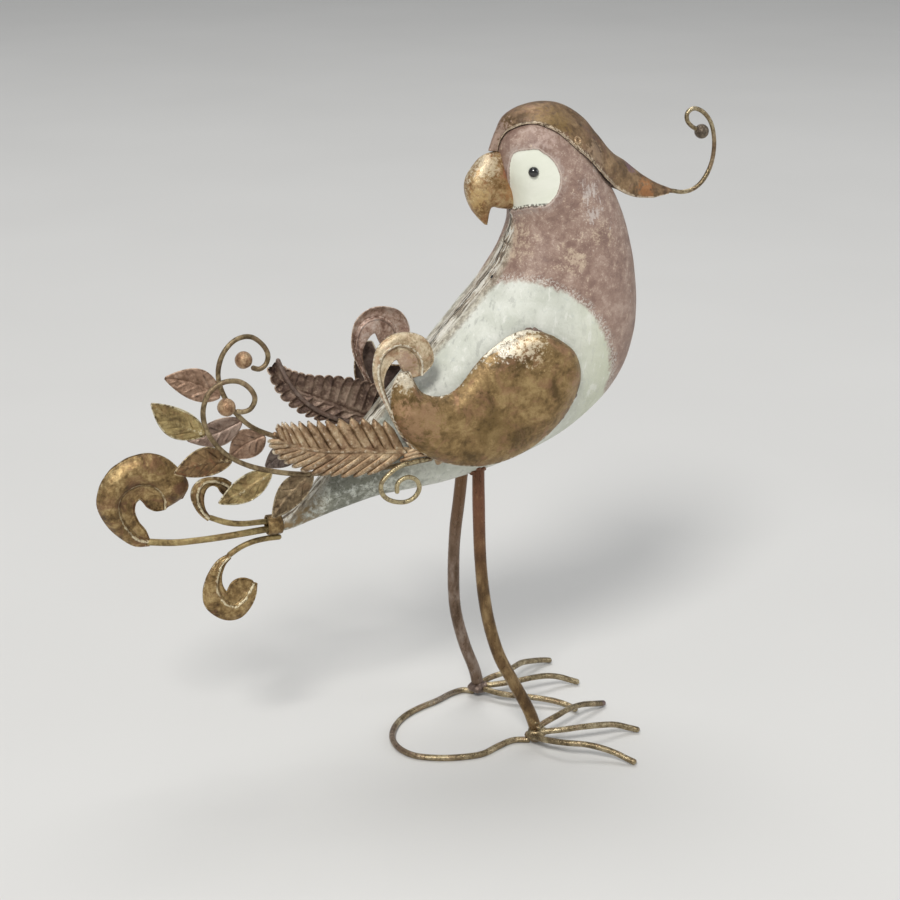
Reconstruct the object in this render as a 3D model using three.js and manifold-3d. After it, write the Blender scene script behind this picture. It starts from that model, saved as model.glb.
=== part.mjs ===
// A standing bird ornament, welded up from pressed sheet steel, steel tube and wire, then painted and gilded.
// Millimetres, +Z up. The breast and toes point along +X, +Y is the bird's left side, and it stands on z = 0.
// The head is turned right round, so the beak points back along -X, over the bird's own back.
import * as THREE from "three";
import { mergeVertices } from "three/addons/utils/BufferGeometryUtils.js";
import Module from "manifold-3d";

const wasm = await Module();
wasm.setup();

// ---- Driving dimensions ----

const GAP = 0.3; // between pieces that touch
const MERGE = 1e-3; // vertices closer than this are one
const BODY_SHEET = 1; // thickness of the pressed body halves and wings
const CAP_SHEET = 0.8; // the crest cap
const LEAF_SHEET = 0.8; // leaves, ferns and scroll leaves
const SCROLL_SHEET = 1.4; // tail scrolls
const LEG_RADIUS = 4; // steel tube
const FOOT_WIRE = 2; // radius of the toes and the foot loop
const STEM_WIRE = 1.6; // radius of the branch wires
const FERN_WIRE = 1.5; // radius of the fern stems
const CURL_WIRE = 1.5;
const CREST_WIRE = 1.4;
const BRANCH_BALL = 5.5;
const CREST_BALL = 4.6;
const EYE_RADIUS = 3.3;
const RIVET_RADIUS = 2.9;
const WING_RISE = 8; // how far the middle of a wing stands off its rim
const WING_SPREAD = 36.5; // from the middle plane to a wing's rim
const SPRAY_ROOT = 30.5; // from the middle plane to the branch wires where they leave the weld
const SPRAY_SPREAD = 26; // and from there back

// Sections of the hollow body from the crown of the head to the tail tip. Each has an edge on the back
// seam (x, z), an edge on the front seam (x, z) and half the thickness across.
const BODY_SECTIONS = [
  [51, 409.6, 70, 409.6, 8],
  [40, 403.6, 83, 400.5, 21],
  [32.5, 392.5, 92.5, 387, 28],
  [32.5, 375, 99, 370, 31],
  [38, 357, 108.2, 353, 32],
  [41, 341, 115, 336.5, 33],
  [36, 326, 120, 317, 35],
  [26, 309, 123, 295, 38],
  [8, 289, 123, 267, 40],
  [-14, 265, 114, 239, 39],
  [-36, 241, 91, 213, 36],
  [-56, 219, 50, 191, 30],
  [-75, 199, 2, 178, 22],
  [-91, 181, -48, 172, 13],
  [-103, 169, -88, 161.5, 7.5],
  [-111, 164.2, -110, 155.2, 4.7],
  [-115.5, 163.4, -115.5, 155.6, 4],
];
const BACK_FULLNESS = 2.6; // superellipse exponents: the back is squarer across than the breast
const BREAST_FULLNESS = 2.15;

// ---- Curves and surfaces ----

const lerp = THREE.MathUtils.lerp;
const clamp = THREE.MathUtils.clamp;

// A smooth curve through points of the upright middle plane, given as [x, z].
function profile(points) {
  return new THREE.CatmullRomCurve3(points.map(([x, z]) => new THREE.Vector3(x, 0, z)));
}

// A smooth run of numbers, read at 0 to 1.
function run(values) {
  const curve = new THREE.CatmullRomCurve3(values.map((v) => new THREE.Vector3(v, 0, 0)));
  return (u) => curve.getPoint(u).x;
}

// Builds a closed geometry from vertices and triangles, turned so that its faces point out.
function closed(vertices, triangles) {
  let volume = 0;
  const product = new THREE.Vector3();
  for (const [a, b, c] of triangles) {
    volume += product.crossVectors(vertices[a], vertices[b]).dot(vertices[c]);
  }
  const facing = volume < 0 ? triangles.map(([a, b, c]) => [a, c, b]) : triangles;
  const geometry = new THREE.BufferGeometry().setFromPoints(vertices);
  geometry.setIndex(facing.flat());
  return geometry;
}

// A sheet of the given thickness over surface(u, v). It lies between two offsets along the normal.
function sheet(surface, nu, nv, low, high) {
  const step = 1e-3;
  const at = (i, j) => {
    const [u, v] = [i / nu, j / nv];
    const along = surface(Math.min(u + step, 1), v).sub(surface(Math.max(u - step, 0), v));
    const across = surface(u, Math.min(v + step, 1)).sub(surface(u, Math.max(v - step, 0)));
    return { point: surface(u, v), normal: along.cross(across).normalize() };
  };
  const vertices = [];
  for (const offset of [low, high]) {
    for (let i = 0; i <= nu; i++) {
      for (let j = 0; j <= nv; j++) {
        const { point, normal } = at(i, j);
        vertices.push(point.addScaledVector(normal, offset));
      }
    }
  }
  const layer = (nu + 1) * (nv + 1);
  const id = (i, j) => i * (nv + 1) + j;
  const triangles = [];
  const quad = (a, b, c, d) => triangles.push([a, b, c], [a, c, d]);
  for (let i = 0; i < nu; i++) {
    for (let j = 0; j < nv; j++) {
      const [a, b, c, d] = [id(i, j), id(i + 1, j), id(i + 1, j + 1), id(i, j + 1)];
      quad(a + layer, b + layer, c + layer, d + layer);
      quad(d, c, b, a);
    }
  }
  const rim = [];
  for (let i = 0; i < nu; i++) rim.push(id(i, 0));
  for (let j = 0; j < nv; j++) rim.push(id(nu, j));
  for (let i = nu; i > 0; i--) rim.push(id(i, nv));
  for (let j = nv; j > 0; j--) rim.push(id(0, j));
  rim.forEach((a, k) => {
    const b = rim[(k + 1) % rim.length];
    quad(a, b, b + layer, a + layer);
  });
  return closed(vertices, triangles);
}

// A solid through rings of points, closed at both ends.
function loft(rings) {
  const count = rings[0].length;
  const vertices = rings.flat();
  const triangles = [];
  for (let i = 0; i + 1 < rings.length; i++) {
    for (let j = 0; j < count; j++) {
      const [a, b] = [i * count + j, i * count + ((j + 1) % count)];
      triangles.push([a, b, b + count], [a, b + count, a + count]);
    }
  }
  for (const [start, turned] of [[0, true], [(rings.length - 1) * count, false]]) {
    for (let j = 1; j + 1 < count; j++) {
      const face = [start, start + j, start + j + 1];
      triangles.push(turned ? face.reverse() : face);
    }
  }
  return closed(vertices, triangles);
}

// A round bar along a smooth path of [x, y, z] points. One facet of its section faces straight down
// where the path is level.
function bar(points, radius, sides = 6, steps = 3 * points.length) {
  const path = new THREE.CatmullRomCurve3(points.map((p) => new THREE.Vector3(...p)));
  const corners = Array.from({ length: sides }, (_, k) => {
    const angle = ((k + 0.5) * 2 * Math.PI) / sides;
    return new THREE.Vector2(radius * Math.cos(angle), radius * Math.sin(angle));
  });
  return new THREE.ExtrudeGeometry(new THREE.Shape(corners), { steps, extrudePath: path });
}

// A round lump with the given half sizes.
function lump([x, y, z], [rx, ry, rz], grow = 0) {
  return new THREE.SphereGeometry(1, 12, 7).scale(rx + grow, ry + grow, rz + grow).translate(x, y, z);
}

const ball = (x, y, z, radius) => lump([x, y, z], [radius, radius, radius]);

// A low round dome on a flat base, with its base at a point and its axis along a direction.
function dome(point, direction, radius, height) {
  const steps = 4;
  const outline = [new THREE.Vector2(0, 0)];
  for (let k = 0; k <= steps; k++) {
    const angle = (k * Math.PI) / 2 / steps;
    outline.push(new THREE.Vector2(radius * Math.cos(angle), height * Math.sin(angle)));
  }
  outline[outline.length - 1].x = 0;
  const turn = new THREE.Quaternion().setFromUnitVectors(new THREE.Vector3(0, 1, 0), direction);
  return new THREE.LatheGeometry(outline, 12).applyQuaternion(turn).translate(...point.toArray());
}

// A geometry's solid, for cutting.
function solid(geometry) {
  const loose = geometry.index ? geometry.toNonIndexed() : geometry;
  const bare = new THREE.BufferGeometry().setAttribute("position", loose.getAttribute("position"));
  const merged = mergeVertices(bare, MERGE);
  const vertProperties = merged.getAttribute("position").array;
  const triVerts = new Uint32Array(merged.index.array);
  return new wasm.Manifold(new wasm.Mesh({ numProp: 3, vertProperties, triVerts }));
}

// The geometry less the tools.
function cut(geometry, ...tools) {
  const mesh = tools.reduce((body, tool) => body.subtract(solid(tool)), solid(geometry)).getMesh();
  const result = new THREE.BufferGeometry();
  result.setAttribute("position", new THREE.BufferAttribute(mesh.vertProperties, mesh.numProp));
  result.setIndex(new THREE.BufferAttribute(mesh.triVerts, 1));
  return result;
}

// The same piece on the bird's other side.
function mirrored(geometry) {
  const other = (geometry.index ? geometry.toNonIndexed() : geometry.clone()).scale(1, -1, 1);
  const place = other.getAttribute("position");
  for (let i = 0; i < place.count; i += 3) {
    const [b, c] = [i + 1, i + 2].map((k) => new THREE.Vector3().fromBufferAttribute(place, k));
    place.setXYZ(i + 1, ...c.toArray());
    place.setXYZ(i + 2, ...b.toArray());
  }
  other.deleteAttribute("normal");
  other.deleteAttribute("uv");
  return other;
}

// ---- Finishes ----

const finish = (color, roughness, metalness) => ({ color, roughness, metalness });
const MAUVE = finish(0x9b827a, 0.6, 0.3);
const CREAM = finish(0xd2d2c4, 0.62, 0.15);
const GOLD = finish(0xa58a4e, 0.45, 0.8);
const DULL_GOLD = finish(0x8a7550, 0.5, 0.7);
const ROSE_GREY = finish(0x8a7468, 0.55, 0.5);
const COPPER = finish(0xa9764a, 0.35, 0.85);
const BRASS = finish(0xa39a72, 0.35, 0.85);
const BLACK = finish(0x0c0c0e, 0.08, 0);

const bird = new THREE.Group();

function add(name, geometry, look) {
  const mesh = new THREE.Mesh(geometry, new THREE.MeshStandardMaterial(look));
  mesh.name = name;
  bird.add(mesh);
}

// ---- Body ----

const BACK = profile(BODY_SECTIONS.map(([x, z]) => [x, z]));
const FRONT = profile(BODY_SECTIONS.map(([, , x, z]) => [x, z]));
const HALF_WIDTH = run(BODY_SECTIONS.map((section) => section[4]));
const fullness = (q) => (q < 0 ? BACK_FULLNESS : BREAST_FULLNESS);

// A point of the body's skin: angle 0 is the back seam and pi the front one, on the bird's right.
function bodyPoint(u, angle, grow = 0) {
  const [back, front] = [BACK.getPoint(u), FRONT.getPoint(u)];
  const reach = back.distanceTo(front) / 2;
  const along = front.clone().sub(back).normalize();
  const q = -Math.cos(angle);
  const power = 2 / fullness(q);
  const point = back.add(front).multiplyScalar(0.5);
  point.addScaledVector(along, Math.sign(q) * Math.abs(q) ** power * (reach + grow));
  point.y = -Math.sign(Math.sin(angle)) * Math.abs(Math.sin(angle)) ** power * (HALF_WIDTH(u) + grow);
  return point;
}

// Half the body's thickness at a place seen from the side, or 0 off the body.
function bodyHalf(x, z, grow = 0) {
  const samples = 240;
  let half = 0;
  let before = 0;
  for (let i = 0; i <= samples; i++) {
    const u = i / samples;
    const [back, front] = [BACK.getPoint(u), FRONT.getPoint(u)];
    const side = (front.x - back.x) * (z - back.z) - (front.z - back.z) * (x - back.x);
    if (side * before < 0) {
      const reach = back.distanceTo(front) / 2;
      const [cx, cz] = [(front.x + back.x) / 2, (front.z + back.z) / 2];
      const along = ((x - cx) * (front.x - back.x) + (z - cz) * (front.z - back.z)) / (2 * reach);
      const q = along / (reach + grow);
      const power = fullness(q);
      const found = Math.abs(q) < 1 ? (1 - Math.abs(q) ** power) ** (1 / power) : 0;
      half = Math.max(half, found * (HALF_WIDTH(u) + grow));
    }
    before = side;
  }
  return half;
}

// The way out of the body at a place seen from the side, on the bird's right.
function bodyNormal(x, z) {
  const step = 0.5;
  const slopeX = (bodyHalf(x + step, z) - bodyHalf(x - step, z)) / (2 * step);
  const slopeZ = (bodyHalf(x, z + step) - bodyHalf(x, z - step)) / (2 * step);
  return new THREE.Vector3(-slopeX, -1, -slopeZ).normalize();
}

function bodyRing(u, grow, count) {
  return Array.from({ length: count }, (_, k) => bodyPoint(u, ((k + 0.5) * 2 * Math.PI) / count, grow));
}

const BODY_RINGS = 24;
const bodyCore = loft(
  Array.from({ length: BODY_RINGS + 1 }, (_, i) => bodyRing(i / BODY_RINGS, GAP, 28)),
);

const LEG_PATHS = {
  right: [[14, -14, 192], [12.5, -19, 165], [12, -23.5, 130], [13, -27, 106], [16, -30, 84],
    [22, -33, 62], [31, -36, 43], [41.1, -38.9, 22], [45.6, -40.5, 8]],
  left: [[15, 14, 190], [13, 18, 155], [12, 23, 130], [12, 26, 105], [15, 31, 72], [23, 35, 43],
    [32, 38.5, 20], [35, 40, 8]],
};

function bodyShell(side) {
  const surface = (u, v) => {
    const point = bodyPoint(u, Math.PI * v);
    point.y -= GAP / 2;
    return point;
  };
  const right = sheet(surface, BODY_RINGS, 8, -BODY_SHEET, 0);
  const half = side === "right" ? right : mirrored(right);
  return cut(half, bar(LEG_PATHS[side], LEG_RADIUS + GAP, 10));
}

add("body_shell_right", bodyShell("right"), CREAM);
add("body_shell_left", bodyShell("left"), CREAM);

// ---- Head: beak, eyes and crest ----

// The beak's ridge (x, z), its lower edge (x, z) and half its thickness, from the face to the hooked tip.
const BEAK_SECTIONS = [
  [40, 384.5, 50, 348.5, 7],
  [24, 384, 37, 348.5, 8.5],
  [15.5, 377, 31, 349.5, 9.5],
  [10.5, 368.5, 28, 350.5, 9.2],
  [10, 360, 26.5, 350, 7.5],
  [13, 351.5, 25.5, 347, 5.5],
  [17.5, 345, 25, 343, 3.2],
  [22.5, 339.8, 24.5, 339.3, 1],
];

function beak() {
  const rings = BEAK_SECTIONS.map(([rx, rz, lx, lz, half]) =>
    Array.from({ length: 14 }, (_, k) => {
      const angle = (k * 2 * Math.PI) / 14;
      const up = (1 + Math.cos(angle)) / 2;
      return new THREE.Vector3(lerp(lx, rx, up), half * Math.sin(angle), lerp(lz, rz, up));
    }),
  );
  return cut(loft(rings), bodyCore);
}

const EYE_PLACE = [44.2, 375.8];

function eyeBead() {
  const [x, z] = EYE_PLACE;
  const normal = bodyNormal(x, z);
  const point = new THREE.Vector3(x, -bodyHalf(x, z), z).addScaledVector(normal, GAP + 0.1);
  return dome(point, normal, EYE_RADIUS, EYE_RADIUS * 0.85);
}

// The crest cap's right-hand lower edge and its ridge over the crown, from the forehead to the drawn-out
// point behind, and half the width that it keeps where it has left the head.
const CAP_EDGE = profile([[30, 385.5], [31.5, 392], [36, 399.5], [46, 403.7], [58, 400.2],
  [71.5, 389], [82.5, 379.5], [94, 368], [105, 359.5], [118, 353], [133, 350.3], [147, 351.2]]);
const CAP_RIDGE = profile([[26, 385.6], [30, 397], [38.5, 407.4], [52, 412.4], [68, 412.4],
  [83, 405.4], [94, 393.6], [104.5, 381.5], [118, 371.5], [130, 362.5], [141, 356], [150, 352.4]]);
const CAP_WIDTH = run([0.8, 3, 8, 12, 15, 19, 21, 20, 13, 9.5, 5.5, 1.2]);
const CAP_CLEARANCE = 1.2;

function capPoint(u, v) {
  const rise = Math.sin(Math.PI * v);
  const point = CAP_EDGE.getPoint(u).lerp(CAP_RIDGE.getPoint(u), rise);
  const side = Math.cos(Math.PI * v);
  const half = Math.max(bodyHalf(point.x, point.z, CAP_CLEARANCE), CAP_WIDTH(u) * Math.abs(side));
  point.y = Math.abs(side) < 1e-6 ? 0 : -Math.sign(side) * half;
  return point;
}

const RIVET_PLACE = [72.4, 392.4];

function crestRivet() {
  const [x, z] = RIVET_PLACE;
  const normal = bodyNormal(x, z);
  const lift = CAP_CLEARANCE + CAP_SHEET + GAP;
  const point = new THREE.Vector3(x, -bodyHalf(x, z), z).addScaledVector(normal, lift + 0.2);
  return dome(point, normal, RIVET_RADIUS, 1.6);
}

add("beak", beak(), GOLD);
add("eye_bead_right", eyeBead(), BLACK);
add("eye_bead_left", mirrored(eyeBead()), BLACK);
add("crest_cap", sheet(capPoint, 18, 8, 0, CAP_SHEET), GOLD);
add("crest_rivet_right", crestRivet(), GOLD);
add("crest_rivet_left", mirrored(crestRivet()), GOLD);

const CREST_PATH = [[151.5, 0, 351.6], [158, 0, 350.5], [165.5, 0, 352], [172, 0, 357], [177, 0, 366],
  [179, 0, 376], [178.5, 0, 386], [175.5, 0, 395], [169.5, 0, 401.5], [163.5, 0, 403.5],
  [159.5, 0, 401], [159.3, 0, 396.5], [162.5, 0, 392.5], [164.9, 0, 391]];
add("crest_wire", bar(CREST_PATH, CREST_WIRE, 6, 30), BRASS);
add("crest_ball", ball(169.8, 0, 388.6, CREST_BALL), GOLD);

// ---- Wings ----

const WING_LOWER = profile([[-46, 260.5], [-50.5, 250], [-50, 236], [-44, 222], [-31, 208.5],
  [-12, 199.5], [10, 196], [32, 200.5], [51, 211.5], [65, 228], [71, 247], [66, 264], [53, 275]]);
const WING_UPPER = profile([[-41.5, 261], [-37, 253], [-32, 246.5], [-24, 243], [-15, 243.5],
  [-7, 248.5], [0, 257], [8, 266], [17, 273], [25, 278], [32, 280.3], [38, 280.5], [44, 279]]);
const WING_CLEARANCE = 0.8;

function wingPoint(u, v) {
  const point = WING_LOWER.getPoint(u).lerp(WING_UPPER.getPoint(u), v);
  const across = 1 - (2 * v - 1) ** 4;
  const ends = clamp(u * 5, 0, 1) * clamp((1 - u) * 7, 0, 1);
  const rim = Math.max(bodyHalf(point.x, point.z, WING_CLEARANCE), WING_SPREAD);
  point.y = -(rim + WING_RISE * across * ends ** 0.6);
  return point;
}

const wing = sheet(wingPoint, 18, 6, 0, BODY_SHEET);
add("wing_right", wing, DULL_GOLD);
add("wing_left", mirrored(wing), DULL_GOLD);

// ---- Leaf sprays at the wing roots ----

// A flat strip between two edge curves, crowned along its middle, at a distance from the middle plane.
function strip(edge, other, y, crown, thickness, nu = 18, nv = 3) {
  const surface = (u, v) => {
    const point = edge.getPoint(u).lerp(other.getPoint(u), v);
    const fade = Math.min(1, 6 * u, 8 * (1 - u));
    point.y = y + crown * fade * (1 - (2 * v - 1) ** 2);
    return point;
  };
  return sheet(surface, nu, nv, -thickness / 2, thickness / 2);
}

const SCROLL_LEAF_OUTER = profile([[-35.4, 207.8], [-45.7, 222.5], [-55.2, 242.4], [-61, 256],
  [-62, 266], [-59, 277.5], [-50, 284.5], [-39, 285], [-29, 280.5], [-24, 271.5], [-24.5, 262],
  [-31, 256]]);
const SCROLL_LEAF_INNER = profile([[-33.6, 209.2], [-43.4, 223.8], [-52.8, 243.6], [-55.4, 255],
  [-53, 263], [-48.5, 268.3], [-46.8, 268.8], [-45.6, 267], [-44.6, 264.5], [-43, 261.5],
  [-40, 258.5], [-36, 256.5]]);
const LEFT_SCROLL_SHIFT = [8.4, 0, -1.8]; // how much further forward and down the left scroll leaf sits

const scrollLeaf = strip(SCROLL_LEAF_OUTER, SCROLL_LEAF_INNER, -33.8, -2, LEAF_SHEET);
add("scroll_leaf_right", scrollLeaf, GOLD);
add("scroll_leaf_left", mirrored(scrollLeaf).translate(...LEFT_SCROLL_SHIFT), ROSE_GREY);

// Fern leaves: the midrib, and the fingers as a wave on both the outline and the height.
const FERN_FINGERS = 12;
const FERN_ROOT = -32.5;
const FERN_HALF = 19;
const FERN_FLARE = 12; // how much further out the tip stands than the root
const FERN_CUP = 2.5; // how far its margins turn in

const fernHalf = (u) => FERN_HALF * Math.sin(Math.PI * (0.05 + 0.91 * u)) ** 0.6;
const fernSpread = (u) => FERN_ROOT - FERN_FLARE * u * u;

function fern(midrib) {
  const surface = (u, v) => {
    const point = midrib.getPoint(u);
    const along = midrib.getTangent(u);
    const across = 2 * v - 1;
    const finger = 0.5 + 0.5 * Math.cos(2 * Math.PI * FERN_FINGERS * u);
    const half = fernHalf(u) * (0.84 + 0.16 * finger);
    point.x += along.z * across * half;
    point.z -= along.x * across * half;
    point.y = fernSpread(u) + FERN_CUP * across * across;
    return point;
  };
  return sheet(surface, 2 * FERN_FINGERS, 4, -LEAF_SHEET / 2, LEAF_SHEET / 2);
}

// The stiffening wire on a fern's inner face, which runs past its tip to a rounded end.
function fernStem(path) {
  const lift = LEAF_SHEET / 2 + FERN_WIRE + FERN_CUP / 2;
  const curve = profile(path);
  const points = [FERN_STEM_START];
  for (let i = 1; i <= path.length; i++) {
    const u = i / path.length;
    const point = curve.getPoint(u);
    points.push([point.x, fernSpread(u) + lift + GAP, point.z]);
  }
  return bar(points, FERN_WIRE, 6, 18);
}

const RIGHT_MIDRIB = profile([[-41, 210], [-55, 211.3], [-70, 213], [-86, 215], [-101, 218.5],
  [-114, 223.5], [-123.5, 230]]);
const LEFT_MIDRIB = profile([[-44, 212], [-55.7, 217.5], [-66.5, 223], [-78, 228], [-89.5, 233.5],
  [-98, 240], [-104, 249]]);
const RIGHT_STEM = [[-41, 210], [-55, 211.3], [-70, 213], [-86, 215], [-101, 218.5], [-114, 223.5],
  [-127, 233]];
const LEFT_STEM = [[-42, 209.5], [-56, 211], [-67, 214.5], [-78, 220.5], [-86.5, 227.5], [-93, 236],
  [-98.5, 246], [-102.5, 257]];
const FERN_STEM_START = [-24, -30.8, 207];

add("fern_leaf_right", fern(RIGHT_MIDRIB), GOLD);
add("fern_stem_right", fernStem(RIGHT_STEM), DULL_GOLD);
add("fern_leaf_left", mirrored(fern(LEFT_MIDRIB)), ROSE_GREY);
add("fern_stem_left", mirrored(fernStem(LEFT_STEM)), DULL_GOLD);

const CURL_PATH = [[-24, -34.6, 203], [-38, -36, 202.6], [-47, -37, 201], [-54, -38, 197],
  [-58.5, -38, 192], [-58.5, -38, 186], [-55, -38, 181.5], [-49, -38, 178.7], [-42, -38, 178.2],
  [-36.5, -38, 181], [-34, -38, 186], [-35.5, -38, 191], [-40, -38, 193.8], [-45, -38, 193.2],
  [-48.3, -38, 190], [-48.5, -38, 184]];
const curl = bar(CURL_PATH, CURL_WIRE, 6, 34);
add("curl_wire_right", curl, GOLD);
add("curl_wire_left", mirrored(curl), ROSE_GREY);

// The lump of weld that holds a spray's stems to the side of the body.
const sprayWeld = cut(lump([-18.2, -31.5, 203.6], [5.2, 4.2, 5.2]), bodyCore);
add("spray_weld_right", sprayWeld, DULL_GOLD);
add("spray_weld_left", mirrored(sprayWeld), DULL_GOLD);

const RIGHT_BRANCH = [[-24, 201.5], [-50, 198.5], [-80, 198.3], [-107, 200], [-123, 203.5],
  [-138, 208.7], [-150, 215.8], [-159, 225.2], [-164.4, 236], [-165.4, 247.5], [-161.5, 257],
  [-153, 262.8], [-143, 262.4], [-135.8, 256.5], [-133.6, 250.5], [-136.5, 244.8], [-141, 243.4],
  [-145, 243.9]];
const LEFT_BRANCH = [[-24, 201.5], [-50, 199.5], [-75, 200.5], [-97, 204.5], [-112, 210], [-124, 217],
  [-134, 228], [-141, 241], [-143, 254], [-139, 266], [-131, 273.5], [-122, 274.5], [-114.5, 269],
  [-111, 262], [-112.4, 256], [-116.6, 253.2], [-121, 254.1]];
const branch = (path, out) => path.map(([x, z]) => {
  const lean = clamp((-24 - x) / 46, 0, 1);
  return [x, out * lerp(SPRAY_ROOT, SPRAY_SPREAD, lean), z];
});

add("branch_wire_right", bar(branch(RIGHT_BRANCH, -1), STEM_WIRE, 6, 36), GOLD);
add("branch_ball_right", ball(-151.2, -SPRAY_SPREAD, 247.3, BRANCH_BALL), COPPER);
add("branch_wire_left", bar(branch(LEFT_BRANCH, 1), STEM_WIRE, 6, 36), DULL_GOLD);
add("branch_ball_left", ball(-126.6, SPRAY_SPREAD, 260, BRANCH_BALL), COPPER);

// Branch leaves, each from its root on the branch to its tip: root x, z, tip x, z and width.
const LEAVES = {
  right: [
    [-167.6, 233.4, -197, 255.5, 17],
    [-152.2, 212.8, -185.4, 211.3, 18],
    [-131, 200.8, -158.7, 189.6, 16.5],
    [-102.7, 195.5, -126, 176.2, 17],
  ],
  left: [
    [-144.8, 239.4, -175, 251.7, 19.5],
    [-132.4, 219.5, -162.5, 210.1, 17],
    [-118.8, 206.4, -136, 196, 20],
    [-93, 197.6, -113, 187, 16],
  ],
};
const LEAF_CUP = 2.5; // how far a leaf's edges stand off its midrib
const LEAF_LEAN = 5; // how far its tip leans outwards

function leaf([rootX, rootZ, tipX, tipZ, width], y, out) {
  const root = new THREE.Vector3(rootX, 0, rootZ);
  const along = new THREE.Vector3(tipX - rootX, 0, tipZ - rootZ);
  const across = new THREE.Vector3(-along.z, 0, along.x).normalize();
  const surface = (u, v) => {
    const side = 2 * v - 1;
    const half = (width / 2) * Math.sin(Math.PI * (0.06 + 0.9 * u ** 0.85)) ** 0.8;
    const point = root.clone().addScaledVector(along, u).addScaledVector(across, half * side);
    point.y = y + out * (LEAF_LEAN * u - LEAF_CUP * side * side * (half / width));
    return point;
  };
  return sheet(surface, 9, 2, -LEAF_SHEET / 2, LEAF_SHEET / 2);
}

LEAVES.right.forEach((place, i) => add("leaf_right_" + (i + 1), leaf(place, -SPRAY_SPREAD, -1), GOLD));
LEAVES.left.forEach((place, i) => add("leaf_left_" + (i + 1), leaf(place, SPRAY_SPREAD, 1), ROSE_GREY));

// ---- Tail ----

const TAIL_Z = 159.5; // height of the tail tip's axis
const COLLAR = { inner: 5.3, outer: 6.3, back: -112.5, end: -121.5 };

function tailCollar() {
  const outline = [
    [COLLAR.inner, 0],
    [COLLAR.outer, 0],
    [COLLAR.outer, COLLAR.back - COLLAR.end],
    [COLLAR.inner, COLLAR.back - COLLAR.end],
    [COLLAR.inner, 0],
  ].map(([r, h]) => new THREE.Vector2(r, h));
  return new THREE.LatheGeometry(outline, 20).rotateZ(-Math.PI / 2).translate(COLLAR.end, 0, TAIL_Z);
}

const level = (path) => path.map(([x, z]) => [x, 0, z]);
const LARGE_STEM = [[-117.5, 156.8], [-124, 156.6], [-138, 155.8], [-152, 155.2], [-166, 155],
  [-180, 155.4], [-195.2, 157.6]];
const SMALL_STEM = [[-117.5, 161.7], [-126, 162], [-137, 162.3], [-147, 164.3], [-156.4, 168.4]];
const LOWER_STEM = [[-112.5, 150.6], [-122, 150.6], [-131, 149.6], [-139, 147], [-145.6, 143.2]];
const LARGE_STEM_WIRE = 2.1;
const SMALL_STEM_WIRE = 1.8;
add("tail_collar", tailCollar(), COPPER);
add("tail_stem_large", bar(level(LARGE_STEM), LARGE_STEM_WIRE, 8, 10), BRASS);
add("tail_stem_small", bar(level(SMALL_STEM), SMALL_STEM_WIRE, 8, 8), BRASS);
add("tail_stem_lower", bar(level(LOWER_STEM), SMALL_STEM_WIRE, 8, 8), BRASS);

// Each tail scroll is a strip between an outer and an inner edge, from its stem to its rolled lobe.
const LARGE_SCROLL = [
  [[-196.6, 156], [-205, 157], [-214, 163.5], [-222, 173], [-227, 186], [-224.5, 198], [-217, 208],
   [-206, 213.8], [-194, 215], [-184, 210.8], [-176, 202.5], [-171, 192.5], [-175.5, 183.5]],
  [[-196.4, 160], [-198.5, 166], [-202.5, 172], [-204.6, 179], [-203.6, 184.5], [-201, 186.6],
   [-199, 185.8], [-197.5, 183], [-196, 180.7], [-193, 178.8], [-189.5, 178], [-186, 178.3],
   [-182, 179.5]],
];
const SMALL_SCROLL = [
  [[-159.4, 167.9], [-163.7, 172], [-167.1, 177.8], [-169.1, 184.6], [-167.9, 190], [-163.7, 194],
   [-158, 195.2], [-152.3, 194.7], [-147.5, 193], [-144, 190.3]],
  [[-158, 169.8], [-160.6, 174.3], [-161.6, 179.7], [-161.1, 184.9], [-159.2, 188.6], [-155.8, 190.2],
   [-152.4, 188.8], [-150.4, 185.4], [-147.6, 182.6], [-143.4, 182]],
];
const LOWER_SCROLL = [
  [[-146.6, 143.8], [-154, 140], [-160.5, 131.5], [-163.8, 121], [-163, 111.5], [-157.5, 104.5],
   [-149.5, 100], [-141, 100.3], [-134, 106.8], [-130.6, 114.5], [-129.6, 121.5]],
  [[-145.8, 140.8], [-149, 137.5], [-151.8, 131], [-152, 124.5], [-150.3, 120], [-148.8, 118.3],
   [-147.6, 120.5], [-145.5, 124], [-142, 126], [-138, 126], [-134, 124.5]],
];
const scroll = ([outer, inner], crown, nu) =>
  strip(profile(outer), profile(inner), 0, crown, SCROLL_SHEET, nu);
add("tail_scroll_large", scroll(LARGE_SCROLL, -4, 22), GOLD);
add("tail_scroll_small", scroll(SMALL_SCROLL, -2.5, 12), GOLD);
add("tail_scroll_lower", scroll(LOWER_SCROLL, -3.5, 18), GOLD);

// ---- Legs and feet ----

const ANKLES = { right: [45.2, -40.6, 6.6], left: [35.2, 40.1, 6.6] };
const ANKLE_SIZE = [7.1, 6.4, 5.2];

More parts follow.
